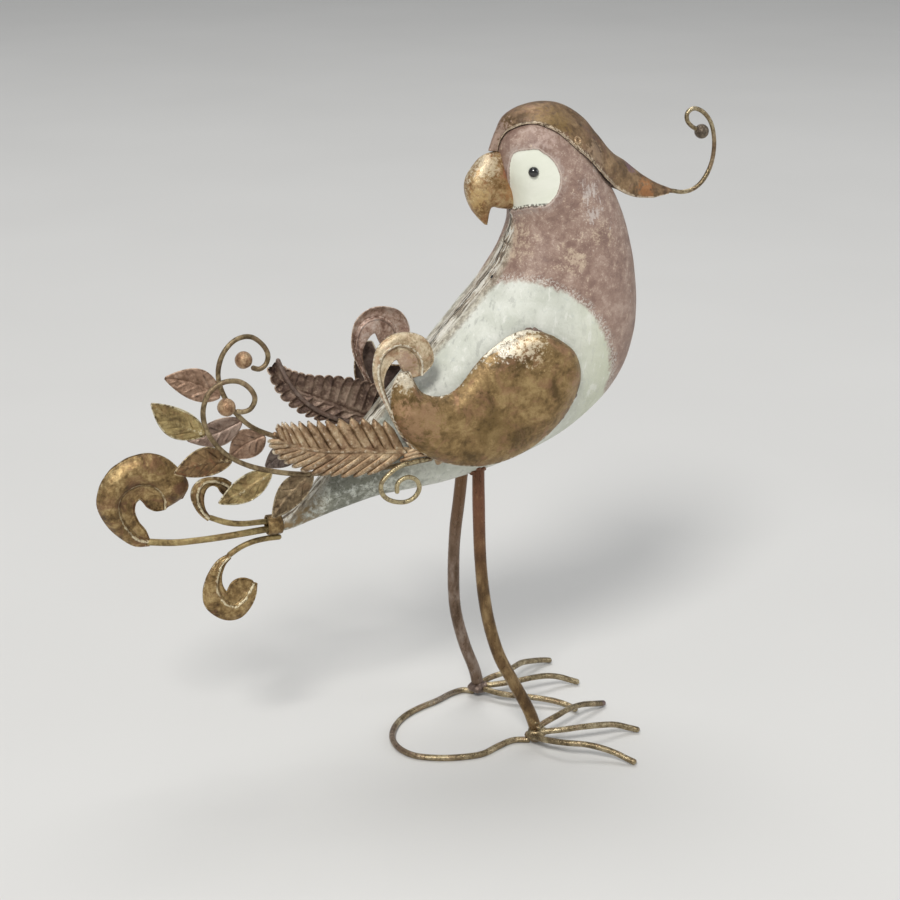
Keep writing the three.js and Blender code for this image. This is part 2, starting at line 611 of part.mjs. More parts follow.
const TOES = {
  right: {
    inner: [[46, -38, 8], [53, -35, 10], [65, -30, 11.5], [76, -23.5, 11.5], [88, -16.5, 9.5],
      [101, -10.5, 5.5], [110, -5.5, 2.2]],
    middle: [[46, -42.5, 8], [52, -46, 9.5], [61, -49, 10.5], [73, -50.5, 11], [87, -50.3, 10],
      [98.5, -48.5, 7.5], [108, -48.8, 4], [115, -51.5, 2.2]],
    outer: [[41, -44.5, 6.5], [46.5, -57, 9], [55, -67.5, 10.5], [66.5, -73, 10], [75, -78, 8.5],
      [83, -83.5, 6], [88.5, -89.5, 3.8], [93, -94, 2.2]],
  },
  left: {
    inner: [[37, 36, 6.5], [47.5, 23, 6.3], [60, 14, 6.5], [69, 8.5, 6], [77, 3.5, 5],
      [84, -2.5, 3.5], [88, -9.5, 2.2]],
    middle: [[38, 38, 8], [46, 34.5, 9], [60, 30.5, 11], [73, 31, 11.5], [84, 33, 10],
      [93.5, 34.5, 7], [101, 33.5, 4], [107, 31, 2.2]],
    outer: [[38, 42, 8], [46, 45, 9.5], [56, 46, 11], [64, 50.5, 11.3], [75, 59.5, 10], [86, 66, 7],
      [96, 71, 4], [103, 72, 2.2]],
  },
};
// Puts the flat facet of an eight-sided wire on the floor.
const LOOP_HEIGHT = FOOT_WIRE * Math.cos(Math.PI / 8);
const FOOT_LOOP = [[42, -39.5], [31, -36.2], [18.5, -41], [5, -47.8], [-9, -47.6], [-26, -42.5],
  [-37.5, -34.5], [-43, -22], [-42.5, -6], [-35.5, 9.5], [-24, 22.5], [-12, 30.3], [4, 37.5],
  [18, 45.5], [27, 47.5], [34, 42.5]];

const ankleTools = Object.values(ANKLES).map((place) => lump(place, ANKLE_SIZE, GAP));
for (const side of ["right", "left"]) {
  add("leg_" + side, cut(bar(LEG_PATHS[side], LEG_RADIUS, 8, 14), ...ankleTools), BRASS);
  add("ankle_weld_" + side, lump(ANKLES[side], ANKLE_SIZE), BRASS);
  for (const [name, path] of Object.entries(TOES[side])) {
    add("toe_" + side + "_" + name, cut(bar(path, FOOT_WIRE, 8, 12), ...ankleTools), BRASS);
  }
}
const loopPath = FOOT_LOOP.map(([x, y]) => [x, y, LOOP_HEIGHT]);
add("foot_loop", cut(bar(loopPath, FOOT_WIRE, 8, 34), ...ankleTools), BRASS);

// ---- Origin: under the middle of the whole bird, on the floor ----

const box = new THREE.Box3().setFromObject(bird);
const middle = box.getCenter(new THREE.Vector3());
bird.children.forEach((mesh) => mesh.geometry.translate(-middle.x, -middle.y, -box.min.z));

export default bird;
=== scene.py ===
"""Looks of the standing bird ornament: pressed sheet, tube and wire, painted and gilded.

Shapes are worked out in design millimetres (X towards the breast, Y towards the bird's left, Z up, middle
plane y = 0, floor z = 0) and moved into the frame's metres by one shift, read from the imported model.
"""

import math

import bpy
import numpy as np
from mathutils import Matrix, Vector


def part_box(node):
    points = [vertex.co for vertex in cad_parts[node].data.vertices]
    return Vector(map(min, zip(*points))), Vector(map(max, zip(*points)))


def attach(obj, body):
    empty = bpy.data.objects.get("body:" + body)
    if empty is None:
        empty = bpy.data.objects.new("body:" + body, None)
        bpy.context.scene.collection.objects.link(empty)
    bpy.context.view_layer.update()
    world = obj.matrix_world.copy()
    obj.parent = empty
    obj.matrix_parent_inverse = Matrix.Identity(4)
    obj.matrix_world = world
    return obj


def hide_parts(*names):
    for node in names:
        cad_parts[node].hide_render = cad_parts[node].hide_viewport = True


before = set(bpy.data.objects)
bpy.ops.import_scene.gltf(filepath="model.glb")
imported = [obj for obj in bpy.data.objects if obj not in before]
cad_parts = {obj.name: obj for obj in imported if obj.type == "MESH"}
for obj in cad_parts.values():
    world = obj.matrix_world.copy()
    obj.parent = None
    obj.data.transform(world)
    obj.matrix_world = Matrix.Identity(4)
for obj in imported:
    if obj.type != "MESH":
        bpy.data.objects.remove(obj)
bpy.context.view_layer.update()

MM = 0.001


def node_middle(node):
    """The middle of a CAD node's box, in millimetres of the frame."""
    low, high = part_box(node)
    return (np.array(low) + np.array(high)) / 2 / MM


CREST_BALL = np.array([169.8, 0, 388.6])
eye_middle = (node_middle("eye_bead_right") + node_middle("eye_bead_left")) / 2
SHIFT = np.array([node_middle("crest_ball")[0] - CREST_BALL[0], eye_middle[1], 0])


# ---- Curves, noise and distances ----

def curve(points, t):
    """Points at t, 0 to 1, of the centripetal Catmull-Rom curve through a list of points or numbers."""
    points = np.asarray(points, float)
    if points.ndim == 1:
        points = points[:, None]
    padded = np.vstack([2 * points[0] - points[1], points, 2 * points[-1] - points[-2]])
    place = np.clip(np.asarray(t, float), 0, 1) * (len(points) - 1)
    i = np.minimum(place.astype(int), len(points) - 2)
    w = (place - i)[..., None]
    p0, p1, p2, p3 = (padded[i + k] for k in range(4))

    def knot(a, b, otherwise):
        gap = np.sqrt(np.linalg.norm(b - a, axis=-1, keepdims=True))
        return np.where(gap < 1e-4, otherwise, gap)

    d1 = knot(p1, p2, 1.0)
    d0 = knot(p0, p1, d1)
    d2 = knot(p2, p3, d1)
    t1 = ((p1 - p0) / d0 - (p2 - p0) / (d0 + d1) + (p2 - p1) / d1) * d1
    t2 = ((p2 - p1) / d1 - (p3 - p1) / (d1 + d2) + (p3 - p2) / d2) * d1
    return p1 + t1 * w + (3 * (p2 - p1) - 2 * t1 - t2) * w**2 + (2 * (p1 - p2) + t1 + t2) * w**3


def run(values, t):
    """A smooth run of numbers, read at t."""
    return curve(values, t)[..., 0]


def grid(rows, columns, low=0):
    """A grid of numbers: 0 to 1 down the rows, and low to 1 along the columns."""
    return np.meshgrid(np.linspace(0, 1, rows), np.linspace(low, 1, columns), indexing="ij")


def level(path):
    """Points of the middle plane from (x, z) pairs."""
    return [[x, 0, z] for x, z in path]


def standing(place, y):
    """Points from their places (x, z) seen from the side and their y."""
    return np.stack([place[..., 0], np.broadcast_to(y, place.shape[:-1]), place[..., 1]], -1)


def smoothstep(low, high, x):
    t = np.clip((x - low) / (high - low), 0, 1)
    return t * t * (3 - 2 * t)


def ripple(points, size, seed):
    """Smooth unevenness, about -1 to 1, whose bumps are about size millimetres across."""
    rng = np.random.default_rng(seed)
    waves = 16
    total = 0
    for _ in range(waves):
        direction = rng.normal(size=3)
        direction /= np.linalg.norm(direction)
        pitch = size * rng.uniform(1.3, 2.8)
        total = total + np.sin(points @ direction * (2 * np.pi / pitch) + rng.uniform(0, 2 * np.pi))
    return total / math.sqrt(2 * waves) * 0.9


def signed_distance(points, outline):
    """Distance from points of a plane to a closed outline, below 0 inside."""
    nearest = np.full(points.shape[:-1], 1e9)
    inside = np.zeros(points.shape[:-1], bool)
    for a, b in zip(outline, np.roll(outline, -1, axis=0)):
        edge = b - a
        t = np.clip(((points - a) @ edge) / max(edge @ edge, 1e-12), 0, 1)
        nearest = np.minimum(nearest, np.linalg.norm(points - a - t[..., None] * edge, axis=-1))
        rises = (a[1] > points[..., 1]) != (b[1] > points[..., 1])
        height = edge[1] if abs(edge[1]) > 1e-12 else 1e-12
        inside ^= rises & (points[..., 0] < edge[0] * (points[..., 1] - a[1]) / height + a[0])
    return np.where(inside, -nearest, nearest)


# ---- Meshes ----

class Shape:
    """Vertices in design millimetres, faces as corner numbers, and named numbers at each vertex."""

    def __init__(self, vertices, faces, **values):
        self.vertices = np.asarray(vertices, float)
        self.faces = [list(map(int, f)) for f in faces]
        self.values = values

    def __add__(self, other):
        count = len(self.vertices)
        faces = self.faces + [[i + count for i in f] for f in other.faces]
        names = set(self.values) | set(other.values)
        values = {}
        for name in names:
            mine = self.values.get(name, np.zeros(count))
            theirs = other.values.get(name, np.zeros(len(other.vertices)))
            values[name] = np.concatenate([mine, theirs])
        return Shape(np.vstack([self.vertices, other.vertices]), faces, **values)

    def mirrored(self):
        faces = [f[::-1] for f in self.faces]
        return Shape(self.vertices * [1, -1, 1], faces, **self.values)

    def moved(self, x, y, z):
        return Shape(self.vertices + [x, y, z], self.faces, **self.values)

    def facing_out(self):
        """The same shape with its faces turned outwards."""
        volume = 0.0
        for corners in (3, 4):
            group = np.array([f for f in self.faces if len(f) == corners], int)
            for k in range(1, corners - 1) if len(group) else ():
                a, b, c = (self.vertices[group[:, n]] for n in (0, k, k + 1))
                volume += np.einsum("ij,ij->", a, np.cross(b, c))
        if volume < 0:
            self.faces = [f[::-1] for f in self.faces]
        return self


def grid_faces(rows, columns, start=0, closed=False):
    """Quads over a grid of vertices; closed joins the last column to the first."""
    i, j = np.meshgrid(np.arange(rows - 1), np.arange(columns if closed else columns - 1), indexing="ij")
    a = i * columns + j
    b = i * columns + (j + 1) % columns
    quads = np.stack([a, b, b + columns, a + columns], -1).reshape(-1, 4) + start
    return quads.tolist()


RIM_STEPS = 4


def sheet(points, low, high, **values):
    """A sheet over a grid of points, between two offsets along the normal, with a rounded rim.

    Its own values are "inside", 1 on the face that looks towards the middle plane, and "rim", 1 on the rim.
    """
    rows, columns = points.shape[:2]
    normal = np.cross(np.gradient(points, axis=0), np.gradient(points, axis=1))
    normal /= np.maximum(np.linalg.norm(normal, axis=-1, keepdims=True), 1e-9)
    low = np.broadcast_to(np.asarray(low, float), (rows, columns))[..., None]
    high = np.broadcast_to(np.asarray(high, float), (rows, columns))[..., None]
    layers = [points + normal * low, points + normal * high]
    size = rows * columns
    vertices = [layer.reshape(-1, 3) for layer in layers]
    faces = [f[::-1] for f in grid_faces(rows, columns)] + grid_faces(rows, columns, size)

    loop = [(i, 0) for i in range(rows - 1)]
    loop += [(rows - 1, j) for j in range(columns - 1)]
    loop += [(i, columns - 1) for i in range(rows - 1, 0, -1)]
    loop += [(0, j) for j in range(columns - 1, 0, -1)]
    ids = np.array([i * columns + j for i, j in loop])
    flat = points.reshape(-1, 3)
    middle = ((layers[0] + layers[1]) / 2).reshape(-1, 3)[ids]
    half = ((high - low) / 2).reshape(-1, 1)[ids]
    up = normal.reshape(-1, 3)[ids]
    along = np.roll(flat[ids], -1, axis=0) - np.roll(flat[ids], 1, axis=0)
    out = np.cross(along, up)
    out /= np.maximum(np.linalg.norm(out, axis=-1, keepdims=True), 1e-9)
    centre = flat.mean(0)
    if np.einsum("ij,ij->", out, flat[ids] - centre) < 0:
        out = -out
    rings = [ids]
    for k in range(1, RIM_STEPS):
        angle = math.pi * k / RIM_STEPS
        ring = middle - up * half * math.cos(angle) + out * half * math.sin(angle)
        rings.append(np.arange(len(ids)) + sum(map(len, vertices)))
        vertices.append(ring)
    rings.append(ids + size)
    for first, second in zip(rings, rings[1:]):
        quads = np.stack([first, np.roll(first, -1), np.roll(second, -1), second], -1)
        faces += quads.tolist()
    spread = {}
    for name, value in values.items():
        plain = np.broadcast_to(value, (rows, columns)).reshape(-1)
        spread[name] = np.concatenate([plain, plain] + [plain[ids]] * (RIM_STEPS - 1))
    towards = (normal[..., 1] * points[..., 1]).reshape(-1)
    rim = np.zeros(len(ids) * (RIM_STEPS - 1))
    spread["inside"] = np.concatenate([towards > 0, towards < 0, rim]).astype(float)
    spread["rim"] = np.concatenate([np.zeros(2 * size), rim + 1])
    return Shape(np.vstack(vertices), faces, **spread).facing_out()


def dull_rim(shape):
    """The same sheet with its rim coloured more like its inner face."""
    shape.values["inside"] = np.maximum(shape.values["inside"], 0.8 * shape.values["rim"])
    return shape


def loft(rings, **values):
    """A closed solid through rings of points, with a point at the middle of each end."""
    rings = np.asarray(rings)
    rows, columns = rings.shape[:2]
    faces = grid_faces(rows, columns, closed=True)
    size = rows * columns
    for k in range(columns):
        nxt = (k + 1) % columns
        faces.append([size, nxt, k])
        faces.append([size + 1, (rows - 1) * columns + k, (rows - 1) * columns + nxt])
    vertices = np.vstack([rings.reshape(-1, 3), rings[0].mean(0), rings[-1].mean(0)])
    spread = {}
    for name, value in values.items():
        spread[name] = np.append(np.broadcast_to(value, (rows, columns)).reshape(-1), [0, 0])
    return Shape(vertices, faces, **spread).facing_out()


END_RINGS = 5


def tube(path, radius, sides=20, step=1.3, wobble=0.05, seed=0):
    """A round bar along a smooth path, slightly uneven, with rounded ends inside the path's length."""
    fine = curve(path, np.linspace(0, 1, 40 * len(path)))
    travelled = np.append(0, np.cumsum(np.linalg.norm(np.diff(fine, axis=0), axis=1)))
    length = travelled[-1]
    count = max(6, int(length / step))
    turn = np.linspace(0, np.pi / 2, END_RINGS + 1)[:-1]
    ends = radius * (1 - np.cos(turn))
    places = np.concatenate([ends, np.linspace(radius, length - radius, count), (length - ends)[::-1]])
    swell = np.ones(len(places))
    swell[:END_RINGS] = np.maximum(np.sin(turn), 0.04)
    swell[-END_RINGS:] = swell[:END_RINGS][::-1]

    def spaced(line):
        return np.stack([np.interp(places, travelled, line[:, k]) for k in range(3)], -1)

    points = spaced(fine)
    tangent = spaced(np.gradient(fine, axis=0))
    tangent /= np.linalg.norm(tangent, axis=1, keepdims=True)
    side = np.cross(tangent[0], [0.13, 0.31, 0.94])
    across = []
    for t in tangent:
        side = side - t * (side @ t)
        side /= np.linalg.norm(side)
        across.append(side)
    u = np.array(across)
    v = np.cross(tangent, u)
    angle = (np.arange(sides) * 2 * np.pi / sides)[None, :, None]
    circle = np.cos(angle) * u[:, None] + np.sin(angle) * v[:, None]
    rings = points[:, None] + (radius * swell)[:, None, None] * circle
    grow = 1 + wobble * ripple(rings, 5 * radius, seed)
    rings = points[:, None] + (rings - points[:, None]) * grow[..., None]
    return loft(rings)


def lump(centre, size, lumpiness=0.12, detail=4.0, seed=0, rows=22, columns=32):
    """An uneven round lump with the given half sizes."""
    theta = np.linspace(0.06, np.pi - 0.06, rows)[:, None]
    phi = np.arange(columns)[None] * 2 * np.pi / columns
    unit = np.stack([np.sin(theta) * np.cos(phi), np.sin(theta) * np.sin(phi), np.cos(theta) + 0 * phi], -1)
    points = unit * np.asarray(size, float)
    grow = 1 + lumpiness * ripple(points + np.asarray(centre), detail, seed)
    return loft(np.asarray(centre) + points * grow[..., None])


def dome(point, normal, outline, columns=36):
    """A round trim turned about a normal: outline gives (radius, height) from the base to the top."""
    normal = normal / np.linalg.norm(normal)
    u = np.cross(normal, [0, 0, 1.0])
    u /= np.linalg.norm(u)
    v = np.cross(normal, u)
    angle = np.arange(columns) * 2 * np.pi / columns
    circle = np.cos(angle)[:, None] * u + np.sin(angle)[:, None] * v
    return loft([point + r * circle + h * normal for r, h in outline])


def joined(shapes):
    """Several shapes as one."""
    whole, *others = shapes
    for other in others:
        whole = whole + other
    return whole


def build(name, shape, material, slot, *nodes):
    """Makes a piece from a shape. It stands for CAD nodes and rides on the only body."""
    mesh = bpy.data.meshes.new(name)
    mesh.from_pydata(((shape.vertices + SHIFT) * MM).tolist(), [], shape.faces)
    mesh.shade_smooth()
    for key, value in shape.values.items():
        attribute = mesh.attributes.new(key, "FLOAT", "POINT")
        attribute.data.foreach_set("value", np.asarray(value, np.float32))
    mesh.materials.append(material)
    piece = bpy.data.objects.new(name, mesh)
    bpy.context.scene.collection.objects.link(piece)
    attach(piece, "root")
    if nodes:
        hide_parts(*nodes)


def build_pair(name, shape, material, slot, *nodes):
    """Builds a right piece and its mirror image. {} in the names stands for the side."""
    for side, made in (("right", shape), ("left", shape.mirrored())):
        build(name.format(side), made, material, slot, *[node.format(side) for node in nodes])


# ---- Materials ----

def linear(red, green, blue):
    """A display colour, 0 to 255, as linear light."""
    def part(c):
        c /= 255
        return c / 12.92 if c <= 0.04045 else ((c + 0.055) / 1.055) ** 2.4
    return (part(red), part(green), part(blue), 1)


class Value:
    """A number or colour that nodes work out. Numbers take plain + - * and abs()."""

    def __init__(self, paint, socket):
        self.paint = paint
        self.socket = socket

    def __add__(self, other):
        return self.paint.math("ADD", self, other)

    def __radd__(self, other):
        return self.paint.math("ADD", other, self)

    def __sub__(self, number):
        return self + -number

    def __mul__(self, other):
        return self.paint.math("MULTIPLY", self, other)

    def __abs__(self):
        return self.paint.math("ABSOLUTE", self, 0.0)

    def fade(self, low, high, to_low=0.0, to_high=1.0):
        """Smoothly from to_low where the value is low to to_high where it is high."""
        made = self.paint.node("ShaderNodeMapRange", interpolation_type="SMOOTHSTEP")
        for socket, number in zip(made.inputs, (self, low, high, to_low, to_high)):
            self.paint.put(socket, number)
        return Value(self.paint, made.outputs["Result"])


class Paint:
    """Builds one procedural material on a Principled shader. Colours are display colours, 0 to 255."""

    def __init__(self, name, metallic=0.0, coat=0.0):
        self.material = bpy.data.materials.new(name)
        self.material.use_nodes = True
        self.tree = self.material.node_tree
        self.shader = self.tree.nodes["Principled BSDF"]
        self.shader.inputs["Metallic"].default_value = metallic
        self.shader.inputs["Coat Weight"].default_value = coat
        self.shader.inputs["Coat Roughness"].default_value = 0.25
        self.place = self.node("ShaderNodeTexCoord").outputs["Object"]

    def node(self, kind, **settings):
        made = self.tree.nodes.new(kind)
        for key, value in settings.items():
            setattr(made, key, value)
        return made

    def link(self, source, target):
        self.tree.links.new(source, target)

    def put(self, socket, value):
        if isinstance(value, Value):
            self.link(value.socket, socket)
        else:
            socket.default_value = value

    def noise(self, size, detail=5.0, rough=0.55, warp=0.0, stretch=None, turn=(0, 0, 0)):
        """Noise from 0 to 1 whose patches are about size millimetres across, and drawn out by stretch."""
        texture = self.node("ShaderNodeTexNoise")
        place = self.place
        if stretch:
            mapping = self.node("ShaderNodeMapping", vector_type="TEXTURE")
            mapping.inputs["Rotation"].default_value = [math.radians(angle) for angle in turn]
            mapping.inputs["Scale"].default_value = stretch
            self.link(place, mapping.inputs["Vector"])
            place = mapping.outputs["Vector"]
        self.link(place, texture.inputs["Vector"])
        texture.inputs["Scale"].default_value = 1 / (size * MM)
        texture.inputs["Detail"].default_value = detail
        texture.inputs["Roughness"].default_value = rough
        texture.inputs["Distortion"].default_value = warp
        return Value(self, texture.outputs["Fac"])

    def attribute(self, name):
        return Value(self, self.node("ShaderNodeAttribute", attribute_name=name).outputs["Fac"])

    def math(self, operation, a, b):
        made = self.node("ShaderNodeMath", operation=operation)
        self.put(made.inputs[0], a)
        self.put(made.inputs[1], b)
        return Value(self, made.outputs[0])

    def mix(self, factor, a, b):
        made = self.node("ShaderNodeMix", data_type="RGBA")
        self.put(made.inputs[0], factor)
        self.put(made.inputs[6], a)
        self.put(made.inputs[7], b)
        return Value(self, made.outputs[2])

    def over(self, base, colour, amount):
        """A colour laid over the base, as strongly as the amount."""
        return self.mix(amount, base, linear(*colour))

    def ramp(self, value, *stops):
        """Colours by value, from (place, colour) stops."""
        made = self.node("ShaderNodeValToRGB")
        elements = made.color_ramp.elements
        while len(elements) < len(stops):
            elements.new(0.5)
        for element, (place, colour) in zip(elements, stops):
            element.position = place
            element.color = linear(*colour)
        self.put(made.inputs[0], value)
        return Value(self, made.outputs["Color"])

    def distance(self, point):
        """Distance from a design point, in metres."""
        made = self.node("ShaderNodeVectorMath", operation="DISTANCE")
        self.link(self.place, made.inputs[0])
        made.inputs[1].default_value = tuple((np.asarray(point) + SHIFT) * MM)
        return Value(self, made.outputs["Value"])

    def near(self, point, reach):
        """1 at a design point, falling to 0 at reach millimetres from it."""
        return self.distance(point).fade(reach * MM, 0.0)

    def along(self, axis, low, high):
        """0 to 1 between two design places along an axis."""
        parts = self.node("ShaderNodeSeparateXYZ")
        self.link(self.place, parts.inputs[0])
        k = "XYZ".index(axis)
        return Value(self, parts.outputs[k]).fade((low + SHIFT[k]) * MM, (high + SHIFT[k]) * MM)

    def finish(self, colour, roughness, height, depth):
        """Sets the shader's colour and roughness, and a bump whose height is depth millimetres."""
        self.put(self.shader.inputs["Base Color"], colour)
        self.put(self.shader.inputs["Roughness"], roughness)
        bump = self.node("ShaderNodeBump")
        bump.inputs["Distance"].default_value = depth * MM
        self.put(bump.inputs["Height"], height)
        self.link(bump.outputs["Normal"], self.shader.inputs["Normal"])
        return self.material


ROSE_INSIDE = ((96, 80, 74), (132, 112, 104), (156, 138, 128))
TONES = (0.41, 0.5, 0.6)  # where the dark, middle and light colours lie on the mottled noise


def scaled(colour, gain):
    return [part * gain for part in colour]


def patina(name, dark, mid, light, blush, bright, metallic=0.5, rough=(0.36, 0.56), blushed=0.5, spot=14,
           inside=ROSE_INSIDE, tints=(), pale_edges_to=0.85, flecked=0.5):
    """Rubbed metal paint: mottles and flecks from dark to light, blushes of undercoat, thin pale edges and
    painted shade in the hollows.

    Faces that look inwards take the inside colours. Each tint is a point, how far it reaches, its colour
    and how strong it is. flecked is how plain the flecks are along the edges, and pale_edges_to how pale
    the edges turn. The pale edges are worn edges, and on the beak's crown, the wing's shoulder and the
    fern's ridges also a painted highlight where the light catches them.
    """
    paint = Paint(name, metallic=metallic)
    broad = paint.noise(spot, detail=6, rough=0.62, warp=0.6)
    small = paint.noise(spot / 4, detail=6, rough=0.7, warp=0.3)
    speck = paint.noise(2.0, detail=4, rough=0.75)
    fleck = paint.noise(1.1, detail=3, rough=0.75)
    patch = paint.noise(spot * 1.3, detail=7, rough=0.7, warp=1.2)
    edge = paint.attribute("edge")
    mottle = broad * 0.55 + small * 0.35 + speck * 0.1
    breaks = (small - 0.5) * 2.6 + (speck - 0.5) * 2.2
    grainy = (edge + (broad - 0.5) * 2.5).fade(0.0, 0.5, 0.05, flecked)
    # Painted shade: where the relief value is low, in hollows, grooves and dents, the colour is darkened as
    # if shade fell there.
    hollow = (paint.attribute("relief") + small * 0.25).fade(0.12, -0.5)
    # The pale edges: worn edges, and on the beak's crown, the wing's shoulder and the fern's ridges a
    # painted highlight.
    worn = (edge + breaks * 0.8).fade(0.5, 0.95) * edge.fade(0.0, 0.15)
    pits = fleck.fade(0.45, 0.36)

    outer = paint.ramp(mottle, *zip(TONES, (dark, mid, light)))
    outer = paint.over(outer, blush, patch.fade(0.5, 0.62) * blushed)
    for point, reach, tint, strength in tints:
        close = paint.near(point, reach)
        ragged = (close + breaks).fade(0.35, 0.8) * close.fade(0.0, 0.15)
        outer = paint.over(outer, tint, ragged * strength)
    lit = [(a + b) / 2 for a, b in zip(light, bright)]
    outer = paint.over(outer, lit, fleck.fade(0.57, 0.68) * grainy)
    outer = paint.over(outer, scaled(dark, 0.6), pits * (grainy * 0.9))
    # Painted shade in the hollows.
    outer = paint.over(outer, scaled(dark, 0.45), hollow * 0.8)
    # Pale edges: wear, and in places a painted highlight.
    outer = paint.over(outer, bright, worn * pale_edges_to)

    inner = paint.ramp(mottle, *zip(TONES, inside))
    inner = paint.over(inner, scaled(inside[0], 0.55), pits * 0.25)
    # Painted shade in the hollows of the inner face.
    inner = paint.over(inner, scaled(inside[0], 0.45), hollow * 0.8)
    inner = paint.over(inner, scaled(inside[2], 1.2), worn * 0.6)

    colour = paint.mix(paint.attribute("inside"), outer, inner)
    height = small * 0.7 + speck * (0.25 + worn * 0.5)
    return paint.finish(colour, speck.fade(0.35, 0.65, *rough), height, 0.6)


class BodyPaint(Paint):
    """Mauve head and breast, a ragged cream belly, a flat cream eye patch and a rough back weld."""

    def __init__(self):
        super().__init__("mauve_and_cream_paint")
        self.broad = self.noise(20, detail=6, rough=0.6, warp=0.5)
        self.small = self.noise(5, detail=6, rough=0.66, warp=0.4)
        self.speck = self.noise(1.6, detail=4, rough=0.7)
        self.fleck = self.noise(1.3, detail=3, rough=0.75, warp=0.6)
        self.brushed = self.noise(4, detail=5, rough=0.65, stretch=(1, 1, 3))
        self.streak = self.noise(2.2, detail=5, rough=0.6, stretch=(1, 1, 7), turn=(0, SEAM_LEAN, 0))
        self.eye = self.attribute("eye")
        self.zone = (self.attribute("seam") + (self.small - 0.5) * 14).fade(3.0, -3.0)
        self.close = self.attribute("back").fade(11.0, 4.0) * self.zone

    def mauve(self):
        """Dusty mauve, paler up the neck, with rubbed places behind the eye and at the nape."""
        broad, small, fleck = self.broad, self.small, self.fleck
        stops = (0.4, (132, 106, 94)), (0.5, (152, 126, 112)), (0.6, (172, 148, 134))
        mauve = self.ramp(broad * 0.5 + small * 0.5, *stops)
        dusty = fleck * 0.62 + (small * 0.23 + broad * 0.15)
        high = self.along("Z", 285, 325)
        mauve = self.over(mauve, (206, 188, 172), dusty.fade(0.53, 0.61) * (0.2 + high * 0.4))
        mauve = self.over(mauve, (122, 94, 86), dusty.fade(0.47, 0.4) * (0.12 + high * 0.25))
        mauve = self.over(mauve, (166, 152, 146), self.eye.fade(7.0, 1.0) * small.fade(0.4, 0.6) * 0.55)
        breaks = (self.brushed - 0.5) * 3.6 + (fleck - 0.5) * 1.6
        for point, reach in (((79, -30, 364), 17), ((82, -31, 350), 15), ((88, -24, 378), 12)):
            scuffed = (self.near(point, reach) + breaks).fade(0.6, 1.15)
            mauve = self.over(mauve, (208, 198, 190), scuffed * 0.65)
        crown = self.near((52, -22, 396), 26) * small.fade(0.46, 0.6)
        mauve = self.over(mauve, (188, 164, 154), crown * 0.6)
        breaks = (fleck - 0.5) * 3.0 + (small - 0.5) * 4.0
        for point, reach in (((41, -12, 331), 26), ((68, -34, 320), 20), ((88, -33, 334), 16)):
            rubbed = (self.near(point, reach) + breaks).fade(0.6, 1.2)
            mauve = self.over(mauve, (202, 182, 156), rubbed * 0.55)
        return mauve

    def cream(self):
        """Brushed cream, greener towards the breast, darker towards the tail as weathering and painted
        shade, and bare metal at the tail's tip.
        """
        broad, small, fleck, brushed = self.broad, self.small, self.fleck, self.brushed
        cream = self.ramp(broad, (0.35, (198, 201, 188)), (0.55, (217, 219, 208)), (0.7, (228, 229, 220)))
        cream = self.over(cream, (206, 209, 178), self.along("X", 55, 100) * 0.6)
        rear = self.along("X", 60, 20)
        cream = self.over(cream, (164, 166, 158), brushed.fade(0.55, 0.66) * (0.22 + rear * 0.3))
        cream = self.over(cream, (236, 236, 228), brushed.fade(0.44, 0.36) * 0.5)
        cream = self.over(cream, (190, 196, 190), small.fade(0.4, 0.33) * 0.4)
        patches = (small * 0.5 + broad * 0.5).fade(0.42, 0.56)
        # Darker grey-green towards the tail: weathering, made deeper as painted shade on the tail cone.
        cream = self.over(cream, (102, 103, 86), self.along("X", 0, -60) * patches * 0.85)
        cream = self.over(cream, (84, 84, 72), self.along("X", -20, -60) * fleck.fade(0.48, 0.38) * 0.7)
        return self.over(cream, (142, 118, 80), self.along("X", -80, -104) * small.fade(0.3, 0.55))

    def belly(self):
        """The cream over the mauve, with a ragged pale edge between them."""
        ragged = self.attribute("cream") + (self.small * 0.6 + self.brushed * 0.4) * 13
        colour = self.mix((ragged - 6.5).fade(1.6, -1.6), self.mauve(), self.cream())
        edging = abs(ragged - 8.5).fade(4.0, 0.6) * self.fleck.fade(0.48, 0.56)
        return self.over(colour, (212, 206, 196), edging * 0.7)

    def weld(self, colour):
        """Weathers the paint beside the back weld and streaks it lengthways close to the ridge."""
        stops = (0.43, (140, 126, 106)), (0.5, (182, 171, 148)), (0.57, (206, 198, 178))
        worn = self.over(self.ramp(self.small, *stops), (92, 80, 66), self.fleck.fade(0.46, 0.38) * 0.65)
        colour = self.mix(self.zone * 0.75, colour, worn)
        colour = self.over(colour, (230, 226, 214), self.close * self.streak.fade(0.49, 0.56) * 0.92)
        return self.over(colour, (78, 68, 56), self.close * self.streak.fade(0.46, 0.4) * 0.8)

    def face(self, colour):
        """The flat eye patch, with a painted highlight as a pale ring round it and painted shade in the
        crease along its lower edge.
        """
        # Painted highlight: a pale ring round the patch, for its raised rim lit from above.
        ring = abs(self.eye + self.speck * -1.6).fade(0.7, 0.1)
        colour = self.over(colour, (206, 190, 178), ring * 0.6)
        patch = self.mix(self.broad.fade(0.4, 0.65), linear(226, 228, 212), linear(233, 234, 220))
        colour = self.mix((self.eye + (self.speck - 0.5) * 0.9).fade(0.15, -0.15), colour, patch)
        # Painted shade: dark dots in the crease along the patch's lower edge.
        grime = self.attribute("grime").fade(0.15, 0.75) * self.speck.fade(0.42, 0.55)
        return self.over(colour, (66, 58, 50), grime * 0.85)

    def complete(self):
        """The finished material, with the vent hole high on the weld painted in as a near-black spot of
        painted shade.
        """
        colour = self.face(self.weld(self.belly()))
